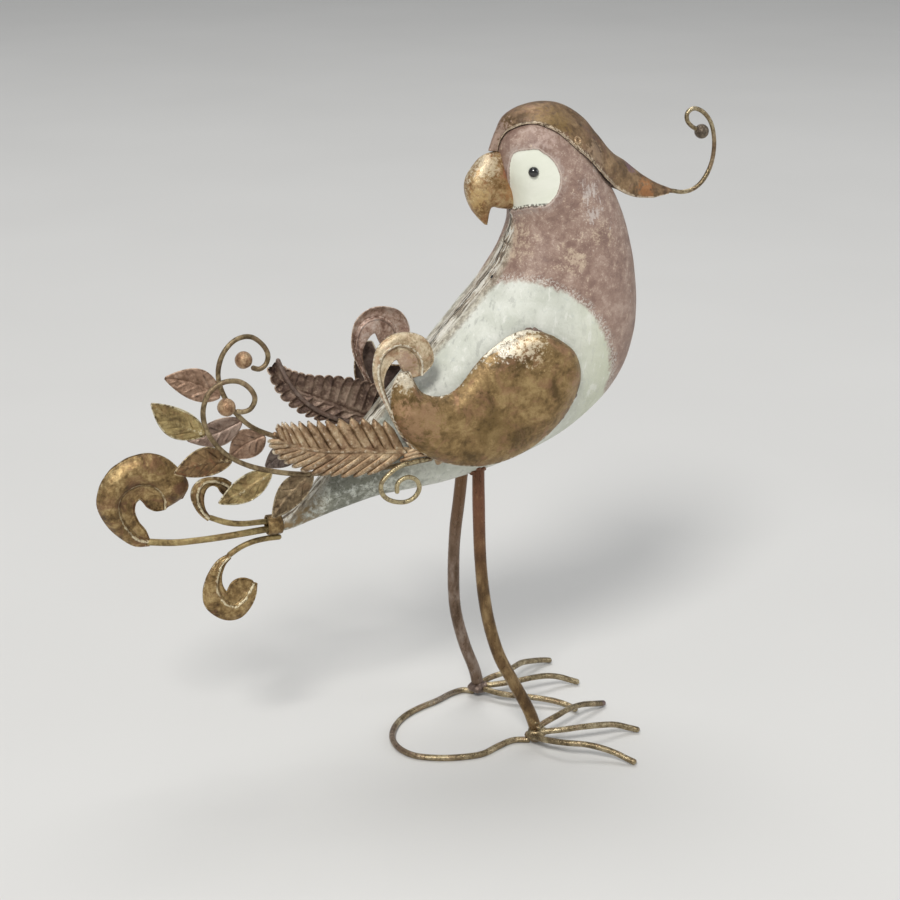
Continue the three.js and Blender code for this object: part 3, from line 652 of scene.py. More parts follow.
        # Painted shade: a near-black spot stands for the dark inside of the vent hole.
        colour = self.over(colour, (8, 7, 7), self.distance(VENT).fade(0.0013, 0.0011))
        flat = self.eye.fade(0.5, -0.5)
        roughness = self.mix(flat, self.small.fade(0.3, 0.7, 0.45, 0.65), (0.5, 0.5, 0.5, 1))
        height = self.small * 0.5 + self.speck * 0.35
        height = height + self.zone * self.speck * 0.9 + self.close * self.streak * 1.2
        return self.finish(colour, roughness, height * (1.0 + flat * -0.85), 0.8)


def gloss_black():
    paint = Paint("gloss_black", coat=1.0)
    speck = paint.noise(3, detail=2)
    colour = paint.mix(speck, linear(6, 7, 8), linear(16, 17, 18))
    return paint.finish(colour, speck.fade(0.3, 0.7, 0.05, 0.12), speck, 0.02)


# ---- Body ----

# Sections from the crown of the head to the tail tip: back seam (x, z), front seam (x, z), half thickness.
BODY_SECTIONS = np.array([
    [51, 409.6, 70, 409.6, 8], [40, 403.6, 83, 400.5, 21], [32.5, 392.5, 92.5, 387, 28],
    [32.5, 375, 99, 370, 31], [38, 357, 108.2, 353, 32], [41, 341, 115, 336.5, 33], [36, 326, 120, 317, 35],
    [26, 309, 123, 295, 38], [8, 289, 123, 267, 40], [-14, 265, 114, 239, 39], [-36, 241, 91, 213, 36],
    [-56, 219, 50, 191, 30], [-75, 199, 2, 178, 22], [-91, 181, -48, 172, 13], [-103, 169, -88, 161.5, 7.5],
    [-111, 164.2, -110, 155.2, 4.7], [-115.5, 163.4, -115.5, 155.6, 4],
])
BACK_FULLNESS = 2.6
BREAST_FULLNESS = 2.15
BODY_SHEET = 1.0


def body_frame(u):
    """The back and front seams and the half thickness at u."""
    return curve(BODY_SECTIONS[:, :2], u), curve(BODY_SECTIONS[:, 2:4], u), run(BODY_SECTIONS[:, 4], u)


def body_point(u, angle):
    """The body's skin on the bird's right: angle 0 is the back seam and pi the front one."""
    back, front, half = body_frame(u)
    reach = np.linalg.norm(front - back, axis=-1) / 2
    along = (front - back) / (2 * reach[..., None])
    q = -np.cos(angle)
    power = 2 / np.where(q < 0, BACK_FULLNESS, BREAST_FULLNESS)
    place = (back + front) / 2 + along * (np.sign(q) * np.abs(q) ** power * reach)[..., None]
    return standing(place, -(np.abs(np.sin(angle)) ** power) * half)


HALF_SAMPLES = np.linspace(0, 1, 241)


def body_half(x, z, grow=0.0):
    """Half the body's thickness at places seen from the side, or 0 off the body."""
    back, front, width = body_frame(HALF_SAMPLES)
    x, z = np.broadcast_arrays(np.asarray(x, float), np.asarray(z, float))
    shape = x.shape
    x, z = x.reshape(-1, 1), z.reshape(-1, 1)
    side = (front[:, 0] - back[:, 0]) * (z - back[:, 1]) - (front[:, 1] - back[:, 1]) * (x - back[:, 0])
    reach = np.linalg.norm(front - back, axis=1) / 2
    middle = (front + back) / 2
    along = (front - back).T
    reached = ((x - middle[:, 0]) * along[0] + (z - middle[:, 1]) * along[1]) / (2 * reach)
    q = np.clip(reached / (reach + grow), -1, 1)
    power = np.where(q < 0, BACK_FULLNESS, BREAST_FULLNESS)
    found = (1 - np.abs(q) ** power) ** (1 / power) * (width + grow)
    before, after = side[:, :-1], side[:, 1:]
    share = before / np.where(before == after, 1, before - after)
    crossing = before * after < 0
    value = found[:, :-1] + (found[:, 1:] - found[:, :-1]) * share
    return np.where(crossing, value, 0).max(axis=1).reshape(shape)


def body_normal(x, z):
    """The way out of the body at a place seen from the side, on the bird's right."""
    step = 0.5
    slope_x = (body_half(x + step, z) - body_half(x - step, z)) / (2 * step)
    slope_z = (body_half(x, z + step) - body_half(x, z - step)) / (2 * step)
    normal = np.array([-slope_x, -1, -slope_z], float)
    return normal / np.linalg.norm(normal)


def on_body(x, z, out):
    """A point raised from the body's skin on the bird's right, and the way out there."""
    normal = body_normal(x, z)
    return np.array([x, -body_half(x, z), z]) + out * normal, normal


# A stencil seen from a little behind the bird's side and above, in which the paint's edges are laid out.
STENCIL_TURN = math.radians(-20)
STENCIL_TILT = math.radians(18.6)


def stencil(points):
    """Where points fall in the stencil."""
    right = np.array([math.cos(STENCIL_TURN), math.sin(STENCIL_TURN), 0])
    up = np.array([-math.sin(STENCIL_TURN) * math.sin(STENCIL_TILT),
                   math.cos(STENCIL_TURN) * math.sin(STENCIL_TILT), math.cos(STENCIL_TILT)])
    return np.stack([points @ right, points @ up], -1)


EYE_PLACE = np.array([44.2, 375.8])
EYE_RADIUS = 3.3
# A near-black spot of painted shade stands for the vent hole here.
VENT = np.array([25.3, -6.6, 307.7])
SEAM_LEAN = 40.7  # degrees from upright to the lower back's seam

# The pale patch's outline round the eye bead, in the stencil.
EYE_PATCH = np.array([
    [-11.9, 11.7], [-4, 13], [2.8, 13.1], [6, 10.9], [8.5, 9.6], [12.5, 5.8], [15.6, 0], [16.2, -5.8],
    [14.5, -12], [10.8, -16.8], [7.4, -18.9], [-2, -19.3], [-11.5, -19], [-13, -15], [-14.2, -4],
    [-14.2, 6],
])
# The cream belly's outline in the stencil: over the top of the belly, then round outside the body.
CREAM_PATCH = np.array([
    [12.5, 276], [20, 282.5], [31, 288], [43, 288.5], [55.5, 286.5], [67, 282.5], [77, 277.5], [86, 271],
    [92, 264], [98, 253], [101, 241], [101, 230], [98.5, 220], [99, 205], [60, 150], [18, 130],
    [-110, 120], [-125, 160], [-95, 185], [-60, 205], [-30, 235], [-10, 255],
])


def closed_curve(points, count):
    """Points all round the smooth closed curve through a list of points."""
    looped = np.vstack([points[-2:], points, points[:3]])
    n = len(looped) - 1
    return curve(looped, np.linspace(2 / n, (n - 2) / n, count, endpoint=False))


def body_shell():
    """The right half: a dished sheet with the recessed eye patch and half of the back weld's ridge."""
    head_rows, other_rows = np.linspace(0, 0.36, 170), np.linspace(0.36, 1, 150)[1:]
    u, v = np.meshgrid(np.append(head_rows, other_rows), np.linspace(0, 1, 101), indexing="ij")
    points = body_point(u, np.pi * v)
    flat = stencil(points)
    bead = np.array([EYE_PLACE[0], -body_half(*EYE_PLACE), EYE_PLACE[1]])
    eye = signed_distance(flat, stencil(bead) + closed_curve(EYE_PATCH, 64))
    eye = np.where(v < 0.62, eye, 9.0)
    cream = signed_distance(flat, closed_curve(CREAM_PATCH, 120))
    steps = np.linalg.norm(np.diff(points, axis=1), axis=-1)
    from_back = np.concatenate([np.zeros((len(u), 1)), np.cumsum(steps, axis=1)], axis=1)
    from_front = from_back[:, -1:] - from_back
    weld_width = 3.0 * smoothstep(0.12, 0.26, u) * smoothstep(1.0, 0.9, u) + 0.6
    seam_width = run([-6, -6, -5, 1.5, 13, 15, 11, 9, 7, 6, 5], u)
    ridge = np.exp(-(from_back / weld_width) ** 2)
    lumps = 0.6 + 0.45 * ripple(points * [1, 1, 0.6], 2.6, 3)
    lift = 1.1 * ridge * lumps * smoothstep(0.1, 0.2, u) + 0.35 * np.exp(-(from_front / 1.6) ** 2) * lumps
    brow = 0.5 * np.exp(-((eye - 1.6) / 1.2) ** 2) * smoothstep(3, -3, flat[..., 1] - 336)
    lift += brow - 0.55 * smoothstep(0.7, -0.7, eye)
    lift += 0.28 * ripple(points, 16, 5) * smoothstep(0, 0.1, v) * smoothstep(1, 0.9, v)
    # Painted shade: where the dark dots go in the crease along the eye patch's lower edge.
    grime = smoothstep(1.6, 0.2, np.abs(eye)) * smoothstep(337, 334.5, flat[..., 1])
    grime = grime * smoothstep(62, 56, flat[..., 0])
    return sheet(points, lift - BODY_SHEET, lift, eye=eye, cream=cream, seam=from_back - seam_width,
                 back=from_back, grime=grime)


# ---- Head ----

# The beak's ridge (x, z), its lower edge (x, z) and half its thickness, from the face to the hooked tip.
BEAK_SECTIONS = np.array([
    [40, 384.5, 50, 348.5, 7], [24, 384, 37, 348.5, 8.5], [15.5, 377, 31, 349.5, 9.5],
    [10.5, 368.5, 28, 350.5, 9.2], [10, 360, 26.5, 350, 7.5], [13, 351.5, 25.5, 347, 5.5],
    [17.5, 345, 25, 343, 3.2], [22.5, 339.8, 24.5, 339.3, 1],
])


def beak():
    """The hooked beak, its crown paled by a painted highlight where its flat top faces the light."""
    u = np.linspace(0.06, 1, 90)[:, None]
    angle = np.linspace(0, 2 * np.pi, 72, endpoint=False)[None]
    ridge, lower = curve(BEAK_SECTIONS[:, :2], u), curve(BEAK_SECTIONS[:, 2:4], u)
    up = ((1 + np.cos(angle)) / 2)[..., None]
    place = lower + (ridge - lower) * up
    half = run(BEAK_SECTIONS[:, 4], u)
    across = np.sign(np.sin(angle)) * np.abs(np.sin(angle)) ** 0.85
    rings = standing(place, half * across)
    middle = rings.mean(axis=1, keepdims=True)
    rings = middle + (rings - middle) * (1 + 0.018 * ripple(rings, 7, 11))[..., None]
    # Painted highlight: the crown's edge value turns the flat top pale, as if lit from above.
    crown = smoothstep(0.72, 0.98, np.cos(angle)) * smoothstep(0.05, 0.25, u) * smoothstep(0.95, 0.6, u)
    return loft(rings, edge=0.55 * crown, relief=0.5)


def eye_bead():
    point, normal = on_body(*EYE_PLACE, -0.7)
    turns = np.linspace(0, np.pi / 2, 14)
    rise = EYE_RADIUS * 0.85
    outline = [(EYE_RADIUS * max(math.cos(t), 0.02), rise * math.sin(t) + 0.5) for t in turns]
    return dome(point, normal, outline)


# The crest cap's right lower edge, its ridge over the crown, and half its width where it has left the head.
CAP_EDGE = np.array([
    [30, 385.5], [31.5, 392], [36, 399.5], [46, 403.7], [58, 400.2], [71.5, 389], [82.5, 379.5],
    [94, 368], [105, 359.5], [118, 353], [133, 350.3], [147, 351.2],
])
CAP_RIDGE = np.array([
    [26, 385.6], [30, 397], [38.5, 407.4], [52, 412.4], [68, 412.4], [83, 405.4], [94, 393.6],
    [104.5, 381.5], [118, 371.5], [130, 362.5], [141, 356], [150, 352.4],
])
CAP_WIDTH = [0.8, 3, 8, 12, 15, 19, 21, 20, 13, 9.5, 5.5, 1.2]
CAP_CLEARANCE = 0.8
CAP_SHEET = 0.8


def crest_cap():
    """The cap from its right edge over the crown to its left edge, resting on the head where it can."""
    columns = 91
    u, v = grid(190, columns)
    rise = np.sin(np.pi * v)[..., None]
    place = curve(CAP_EDGE, u) * (1 - rise) + curve(CAP_RIDGE, u) * rise
    side = np.cos(np.pi * v)
    resting = body_half(place[..., 0], place[..., 1], CAP_CLEARANCE)
    free = run(CAP_WIDTH, u) * np.abs(side)
    half = (resting**6 + free**6) ** (1 / 6)
    points = standing(place, -np.sign(side) * half)
    points[:, columns // 2, 1] = 0
    margin = np.minimum(v, 1 - v)
    edge = smoothstep(0.07, 0.0, margin) * 0.9
    lift = 0.3 * ripple(points, 9, 21) * smoothstep(0, 0.1, margin)
    lift += (0.3 + 0.25 * ripple(points, 3, 22)) * smoothstep(0.05, 0.0, margin)
    return sheet(points, lift, CAP_SHEET + lift, edge=edge, relief=0.5)


RIVET_PLACE = (72.4, 392.4)
RIVET_OUTLINE = [
    (2.9, -0.6), (2.9, 0.5), (2.7, 1.1), (2.3, 1.5), (1.9, 1.55), (1.5, 1.3), (1.2, 0.8), (0.8, 0.55),
    (0.1, 0.5),
]


def crest_rivet():
    """The rivet at the cap's right edge."""
    point, normal = on_body(*RIVET_PLACE, CAP_CLEARANCE + CAP_SHEET - 0.3)
    return dome(point, normal, RIVET_OUTLINE)


CREST_PATH = [
    [144, 353.8], [148, 352.2], [151.5, 351.6], [158, 350.5], [165.5, 352], [172, 357], [177, 366],
    [179, 376], [178.5, 386], [175.5, 395], [169.5, 401.5], [163.5, 403.5], [159.5, 401], [159.3, 396.5],
    [162.5, 392.5], [167, 389.8],
]
CREST_WIRE = 1.4
CREST_BALL_RADIUS = 4.6


# ---- Wings ----

WING_LOWER = np.array([
    [-46, 260.5], [-50.5, 250], [-50, 236], [-44, 222], [-31, 208.5], [-12, 199.5], [10, 196],
    [32, 200.5], [51, 211.5], [65, 228], [71, 247], [66, 264], [53, 275],
])
WING_UPPER = np.array([
    [-39.8, 260.8], [-36.6, 253.2], [-32, 246.5], [-24, 243], [-15, 243.5], [-7, 248.5], [0, 257],
    [8, 266], [17, 273], [25, 278], [32, 280.3], [38, 280.5], [44, 279],
])
WING_CLEARANCE = 0.8
WING_SPREAD = 36.5
WING_RISE = 8


def wing_point(u, v):
    """The right wing's skin: u runs from tip to shoulder and v from the lower edge to the upper one."""
    place = curve(WING_LOWER, u) * (1 - v[..., None]) + curve(WING_UPPER, u) * v[..., None]
    across = 1 - (2 * v - 1) ** 4
    ends = np.clip(u * 5, 0, 1) * np.clip((1 - u) * 7, 0, 1)
    resting = body_half(place[..., 0], place[..., 1], WING_CLEARANCE)
    rim = (resting**8 + WING_SPREAD**8) ** (1 / 8)
    return standing(place, -(rim + WING_RISE * across * ends**0.6))


def wing():
    """The right wing, dented a little, with its rim rubbed pale and its upper shoulder pale from rubbed
    wear and a painted highlight.
    """
    ease = np.linspace(0, 1, 71)
    ease = 0.5 - 0.5 * np.cos(np.pi * ease)
    u, v = np.meshgrid(np.linspace(0, 1, 170), ease, indexing="ij")
    points = wing_point(u, v)
    rim = np.minimum(np.minimum(v, 1 - v) * 60, np.minimum(u * 140, (1 - u) * 140))
    lift = 0.35 * ripple(points, 9, 31) * smoothstep(0, 6, rim)
    # top: the upper edge near the shoulder, pale partly from rubbed wear and partly as a painted highlight
    # where it catches the light, and the pale tip.
    top = smoothstep(0.86, 0.97, v) * smoothstep(0.5, 0.75, u) + 0.8 * smoothstep(0.16, 0.02, u)
    edge = 0.55 * smoothstep(3, 0.3, rim) + 0.75 * top
    return sheet(points, lift, lift + BODY_SHEET, edge=np.clip(edge, 0, 1), relief=0.5)


WING_TACKS = [(0.93, 0.97, 2.4), (0.9, 1.0, 1.9), (0.97, 0.93, 1.7), (0.78, 0.0, 2.1), (0.72, 0.0, 1.5),
              (0.27, 0.0, 1.9)]


def wing_tacks():
    """Small weld tacks round the wing's rim, each from its u, v and size."""
    tacks = []
    for k, (u, v, size) in enumerate(WING_TACKS):
        x, y, z = wing_point(np.array(u), np.array(v))
        tacks.append(lump((x, y + 1.2, z), (size * 1.3, 1.5, size), 0.25, 2.0, 40 + k, 14, 18))
    return joined(tacks)


# ---- Leaf sprays ----

LEAF_SHEET = 0.8
SCROLL_LEAF = (
    [[-35.4, 207.8], [-45.7, 222.5], [-55.2, 242.4], [-61, 256], [-62, 266], [-59, 277.5], [-50, 284.5],
     [-39, 285], [-29, 280.5], [-24, 271.5], [-23.8, 264.6], [-29.8, 258]],
    [[-34.5, 208.5], [-44.6, 223.1], [-54.1, 242.9], [-58.6, 255.6], [-59.2, 265.5], [-56, 273.4],
     [-50, 277.6], [-43.5, 278.4], [-37.8, 275.8], [-33.4, 271.2], [-31.2, 265], [-30.8, 257.4]],
    [[-33.6, 209.2], [-43.4, 223.8], [-52.8, 243.6], [-55.4, 255], [-53, 263], [-48.5, 268.3],
     [-46.8, 268.8], [-45.6, 267], [-44.6, 264.5], [-43, 261.5], [-40, 258.5], [-36, 256.5]],
)
LEFT_SCROLL_SHIFT = (8.4, 0, -1.8)


def strip(lines, y, crown, bulge, dish, bead, thickness, rows=150, seed=0, hammer=0.2):
    """A sheet from an outer edge over a thin raised rib to an inner edge, with a swelling outer band."""
    u, v = grid(rows, 49)
    outer, rib, inner = (curve(line, u) for line in lines)
    band = np.clip(2 * v, 0, 1)
    beyond = np.clip(2 * v - 1, 0, 1)
    place = outer + (rib - outer) * band[..., None] + (inner - rib) * beyond[..., None]
    width = np.linalg.norm(rib - outer, axis=-1)
    inner_width = np.linalg.norm(inner - rib, axis=-1)
    fade = np.minimum(1, np.minimum(6 * u, 8 * (1 - u)))
    swelling = bulge * np.sqrt(np.maximum(0, 1 - (2 * band - 1) ** 2)) * np.clip(width / 14, 0.1, 1)
    hollow = dish * np.sin(np.pi * beyond) * np.clip(inner_width / 9, 0.1, 1)
    from_rib = np.where(v < 0.5, (1 - band) * width, beyond * inner_width)
    beading = bead * np.exp(-(from_rib / 0.7) ** 2)
    at_outer = np.exp(-((band * width) / 0.7) ** 2)
    at_inner = np.exp(-(((1 - beyond) * inner_width) / 0.6) ** 2)
    rolled = 0.7 * bead * at_outer + 0.4 * bead * at_inner
    lift = (swelling - hollow) * fade**0.5 + beading + rolled
    lift = lift + hammer * ripple(standing(place, 0), 5, seed) * fade
    points = standing(place, y + crown * fade * (1 - (2 * v - 1) ** 2) - lift)
    edge = np.clip(0.95 * beading / bead + 0.75 * rolled / bead, 0, 1)
    # Painted shade: the groove beside the rib gets a low relief value, which darkens it in the paint.
    groove = 0.75 * np.exp(-((from_rib - 1.7) / 0.8) ** 2) * (v > 0.5)
    relief = np.where(v < 0.5, 0.5, 0.32) + 0.3 * edge - groove
    return sheet(points, -thickness / 2, thickness / 2, edge=edge, relief=relief)


FERN_ROOT = -32.5
FERN_FLARE = 12
FERN_CUP = 2.5
FERN_WIRE = 1.5
RIGHT_MIDRIB = [
    [-41, 208.2], [-55, 210.6], [-70, 213], [-86, 215], [-101, 218.5], [-114, 223.5], [-123.5, 230],
]
LEFT_MIDRIB = [
    [-44, 212], [-55.7, 217.5], [-66.5, 223], [-78, 228], [-89.5, 233.5], [-98, 240], [-103.5, 248],
]
RIGHT_STEM = [[-41, 210], [-55, 211.3], [-70, 213], [-86, 215], [-101, 218.5], [-114, 223.5], [-127, 233]]
LEFT_STEM = [[-42, 209.5], [-56, 211], [-67, 214.5], [-78, 220.5], [-86.5, 227.5], [-93, 236], [-97.8, 245],
             [-101, 254.4]]


def fern_spread(u):
    """How far across the right fern's midrib lies at u."""
    return FERN_ROOT - FERN_FLARE * u**2


def fern(midrib, upper, lower, seed):
    """A pressed fern leaf.

    upper and lower say, for the fingers on that side of the midrib: how many, their reach along it, their
    slant towards the tip in degrees from root to tip, how deep the gaps are cut, how high the ridges stand
    and how pointed they are.
    """
    u, w = grid(225, 71, -1)
    base = curve(midrib, u)
    ahead = curve(midrib, np.clip(u + 0.002, 0, 1)) - curve(midrib, np.clip(u - 0.002, 0, 1))
    ahead /= np.linalg.norm(ahead, axis=-1, keepdims=True)
    up = np.stack([ahead[..., 1], -ahead[..., 0]], -1)
    above = w >= 0
    sides = []
    for count, reach, slants, gap, height, sharp in (upper, lower):
        c = 2 * ((count * u) % 1.0) - 1
        c[-1] = 1
        slant = np.radians(np.interp(u, np.linspace(0, 1, len(slants)), slants))
        rounded = np.sqrt(np.maximum(0, 1 - np.abs(c) ** 2.6))
        pointed = 1 - np.abs(c)
        length = run(reach, u) * (1 - gap + gap * (rounded * (1 - sharp) + pointed * sharp))
        rod = np.sqrt(np.maximum(0, 1 - c**2))
        tooth = np.clip((c + 1) / 1.5, 0, 1) * smoothstep(1.0, 0.6, c)
        ridge = rod * (1 - sharp) + tooth * sharp
        sides.append((slant, length, height, ridge))
    slant, length, height, ridge = (np.where(above, a, b) for a, b in zip(*sides))
    direction = up * (np.cos(slant) * np.sign(w))[..., None] + ahead * np.sin(slant)[..., None]
    place = base + direction * (np.abs(w) * length)[..., None]
    grow = smoothstep(0.04, 0.2, np.abs(w)) * smoothstep(1.06, 0.85, np.abs(w))
    rib = np.exp(-((w * length) / 1.5) ** 2) * smoothstep(1.0, 0.93, u)
    lift = height * ridge * grow + 1.4 * rib + 0.2 * ripple(standing(place, 0), 4, seed)
    points = standing(place, fern_spread(u) + FERN_CUP * w**2 - lift)
    # Painted shade: the furrows between the fingers' ridges get a low relief value, which darkens them in
    # the paint.
    relief = np.clip(1.5 * ridge - 0.6, -0.6, 0.6) * grow + 0.5 * rib
    tips = smoothstep(0.86, 1.0, np.abs(w)) * (0.35 + 0.6 * smoothstep(0.4, 0.85, u))
    # The ridge tops and the midrib are paled as a painted highlight where they catch the light, and with
    # rubbed wear; the finger tips are rubbed pale.
    edge = smoothstep(0.7, 1.0, ridge) * grow * 0.5 + 0.55 * rib + tips
    return sheet(points, -LEAF_SHEET / 2, LEAF_SHEET / 2, edge=np.clip(edge, 0, 1), relief=relief)


def fern_stem(path):
    """The stiffening wire on a fern's inner face, which runs past its tip to a rounded end."""
    lift = LEAF_SHEET / 2 + FERN_WIRE + FERN_CUP / 2
    t = np.linspace(1 / len(path), 1, len(path))
    places = curve(path, t)
    return [[-24, -30.8, 207]] + [[x, fern_spread(u) + lift + 0.3, z] for u, (x, z) in zip(t, places)]


CURL_PATH = [[-24, -34.6, 203], [-38, -36, 202.6], [-47, -37, 201], [-54, -38, 197], [-58.5, -38, 192],
             [-58.5, -38, 186], [-55, -38, 181.5], [-49, -38, 178.7], [-42, -38, 178.2], [-36.5, -38, 181],
             [-34, -38, 186], [-35.5, -38, 191], [-40, -38, 193.8], [-45, -38, 193.2], [-48.3, -38, 190],
             [-48.5, -38, 184]]

RIGHT_BRANCH = [
    [-24, 201.5], [-50, 198.5], [-80, 198.3], [-107, 200], [-123, 203.5], [-138, 208.7], [-150, 215.8],
    [-159, 225.2], [-164.4, 236], [-165.4, 247.5], [-161.5, 257], [-153, 262.8], [-143, 262.4],
    [-135.8, 256.5], [-133.6, 250.5], [-136.5, 244.8], [-141, 243.4], [-145.8, 244.2],
]
LEFT_BRANCH = [
    [-24, 201.5], [-50, 199.5], [-75, 200.5], [-97, 204.5], [-112, 210], [-124, 217], [-134, 228],
    [-141, 241], [-143, 254], [-139, 266], [-131, 273.5], [-122, 274.5], [-114.5, 269], [-111, 262],
    [-112.4, 256], [-116.6, 253.2], [-122, 254.8],
]
SPRAY_ROOT = 30.5
SPRAY_SPREAD = 26
CURL_WIRE = 1.5
BRANCH_WIRE = 1.6
BRANCH_BALL_RADIUS = 5.5


def branch(path, out):
    """A branch's path in space. It leans in from the weld, and out is -1 on the bird's right."""
    lean = [min(max((-24 - x) / 46, 0), 1) for x, _ in path]
    return [[x, out * (SPRAY_ROOT + (SPRAY_SPREAD - SPRAY_ROOT) * k), z] for (x, z), k in zip(path, lean)]


# Branch leaves from root to tip: root x, z, tip x, z, width, and how far the middle bows upwards.
LEAVES = {
    "right": [[-165.3, 231.8, -197.2, 255.7, 17.5, -2.5], [-149.6, 213.6, -185.4, 211.4, 18, 2.5],
              [-124.8, 203.4, -159, 189.4, 16.5, -1.5], [-99.2, 198.8, -126, 176.2, 17.5, 1.5]],
    "left": [[-142.4, 238.3, -175.2, 251.8, 19.5, 2.5], [-129.2, 220.6, -162.7, 210, 17, -2],
             [-114.8, 209.2, -136, 196, 20, 2], [-92.5, 198, -113, 187, 16, 1.5]],
}
LEAF_CUP = 2.5
LEAF_LEAN = 5
VEINS = 5


def leaf(place, y, out, seed):
    """A pointed leaf with a rolled rim, a creased midrib and slanting veins."""
    root_x, root_z, tip_x, tip_z, width, bow = place
    u, w = grid(70, 41, -1)
    along = np.array([tip_x - root_x, tip_z - root_z])
    across = np.array([-along[1], along[0]]) / np.linalg.norm(along)
    up = across if across[1] > 0 else -across
    half = width / 2 * np.sin(np.pi * (0.025 + 0.965 * u**0.86)) ** 0.85
    root = np.array([root_x, root_z])
    spine = root + along * u[..., None] + up * (bow * np.sin(np.pi * u))[..., None]
    flat = spine + across * (half * w)[..., None]
    reach = np.abs(w) * half
    crease = np.exp(-(reach / 0.8) ** 2) * smoothstep(1, 0.9, u)
    vein = np.maximum(0, np.cos(2 * np.pi * (VEINS * u - 0.16 * reach + 0.1))) ** 3
    vein = vein * smoothstep(0.06, 0.25, np.abs(w)) * smoothstep(0.95, 0.7, np.abs(w))
    vein = vein * smoothstep(0.02, 0.15, u) * smoothstep(0.97, 0.8, u)
    rolled = smoothstep(0.88, 0.98, np.abs(w))
    solid = standing(flat, 0)
    vein = vein * np.clip(0.75 + 0.5 * ripple(solid, 7, seed + 20), 0.25, 1)
    crumple = ripple(solid, 5, seed)
    lift = 0.7 * crease - 0.9 * vein + 0.5 * rolled + 0.35 * crumple * (1 - rolled)
    points = standing(flat, y + out * (LEAF_LEAN * u - LEAF_CUP * w**2 * (half / width) + lift))
    # The raised crumples are paled as a painted highlight and the rim and midrib crease are rubbed pale;
    # the pressed veins and dents get a low relief value, which is painted shade.
    edge = np.clip(0.8 * rolled + 0.35 * crease + 0.4 * smoothstep(0.2, 0.8, crumple), 0, 1)
    relief = 0.5 - 0.95 * vein - 0.2 * smoothstep(0, -0.7, crumple)
    return sheet(points, -LEAF_SHEET / 2, LEAF_SHEET / 2, edge=edge, relief=relief)


SPRAY_WIRE = 1.2
# Where the three rods of the spray weld end at the leaves: x, z and how far out.
SPRAY_RODS = [(-45.5, 204, 34.6), (-43.2, 206.6, 34.8), (-40.6, 209, 34.4)]


def spray_weld():
    """The right weld lump behind the wing, with the rods that run back from it."""
    pieces = [lump((-18.2, -31.5, 203.6), (5.2, 4.2, 5.2), 0.22, 3, 7)]
    for k, (x, z, out) in enumerate(SPRAY_RODS):
        path = [[x, -out, z], [(x - 20) / 2, -out - 0.8, z + 2.4], [-20, -32.4, 204.4 + 2 * k]]
        pieces.append(tube(path, SPRAY_WIRE, sides=14, seed=30 + k))
    return joined(pieces)


# ---- Tail ----

TAIL_Z = 159.5
TAIL_SHEET = 1.2
COLLAR_MOUTH = -121.5
# The collar's section, from (radius, distance behind the mouth) pairs.
COLLAR_OUTLINE = [
    (5.3, 0), (5.5, 0.35), (5.9, 0.5), (6.3, 0.2), (6.4, -3), (6.3, -6), (6.35, -8.4), (6.1, -9),
    (5.4, -9), (5.3, -6), (5.3, -2),
]
LARGE_STEM = [[-117.5, 156.8], [-124, 156.6], [-138, 155.8], [-152, 155.2], [-166, 155], [-180, 155.4],
              [-198.5, 158.2]]
SMALL_STEM = [[-117.5, 161.7], [-126, 162], [-137, 162.3], [-147, 164.3], [-158.9, 169.6]]
LOWER_STEM = [[-112.5, 150.6], [-122, 150.6], [-131, 149.6], [-139, 147], [-147.6, 142.0]]
# Each tail scroll's outer edge, rib and inner edge, from its stem to its rolled lobe.
LARGE_SCROLL = (
    [[-196.6, 156], [-205, 157], [-214, 163.5], [-222, 173], [-227, 186], [-224.5, 198], [-217, 208],
     [-206, 213.8], [-194, 215], [-184, 210.8], [-176, 202.5], [-171, 192.5], [-174.6, 184.4]],
    [[-196.8, 158.4], [-203.5, 161], [-208.5, 166.2], [-212.6, 172.6], [-214.9, 179.8], [-214.8, 186.6],
     [-212, 191.8], [-206.6, 195.6], [-200, 197], [-193.4, 195.6], [-188.6, 191.4], [-185.8, 185.6],
     [-185.6, 178.8]],
    [[-196.4, 160], [-198.5, 166], [-202.5, 172], [-204.6, 179], [-203.6, 184.5], [-201, 186.6],
     [-199.2, 185.6], [-198, 183.4], [-196.6, 181.2], [-194.4, 179.4], [-192, 178.3], [-189.3, 177.9],
     [-186.4, 178.2]],
)
SMALL_SCROLL = (
    [[-159.4, 167.9], [-163.7, 172], [-167.1, 177.8], [-169.1, 184.6], [-167.9, 190], [-163.7, 194],
     [-158, 195.2], [-152.3, 194.7], [-147.5, 193], [-144, 190.3]],
    [[-158.8, 168.9], [-162.2, 173.2], [-164.8, 178.5], [-165.5, 184.6], [-164, 189.6], [-160.3, 192.7],
     [-155.5, 193], [-150.5, 191.6], [-147, 189.4], [-144, 186.4]],
    [[-158, 169.8], [-160.6, 174.3], [-161.6, 179.7], [-161.1, 184.9], [-159.2, 188.6], [-155.8, 190.2],
     [-152.4, 188.8], [-150.4, 185.4], [-147.6, 182.6], [-143.4, 182]],
)
LOWER_SCROLL = (
    [[-146.6, 143.8], [-154, 140], [-160.5, 131.5], [-163.8, 121], [-163, 111.5], [-157.5, 104.5],
     [-149.5, 100], [-141, 100.3], [-134, 106.8], [-130.6, 114.5], [-129.6, 121.5]],
    [[-146.3, 142], [-151.4, 138], [-154.6, 131.2], [-155.9, 124], [-154.8, 117.8], [-152, 112.8],
     [-148, 109.4], [-143.6, 108.6], [-139.4, 111.2], [-135.6, 115.4], [-131.4, 122]],
    [[-145.8, 140.8], [-149, 137.5], [-151.8, 131], [-152, 124.5], [-150.3, 120], [-148.8, 118.3],
     [-147.6, 120.5], [-145.5, 124], [-142, 126], [-137.4, 126], [-132.6, 123.8]],
)


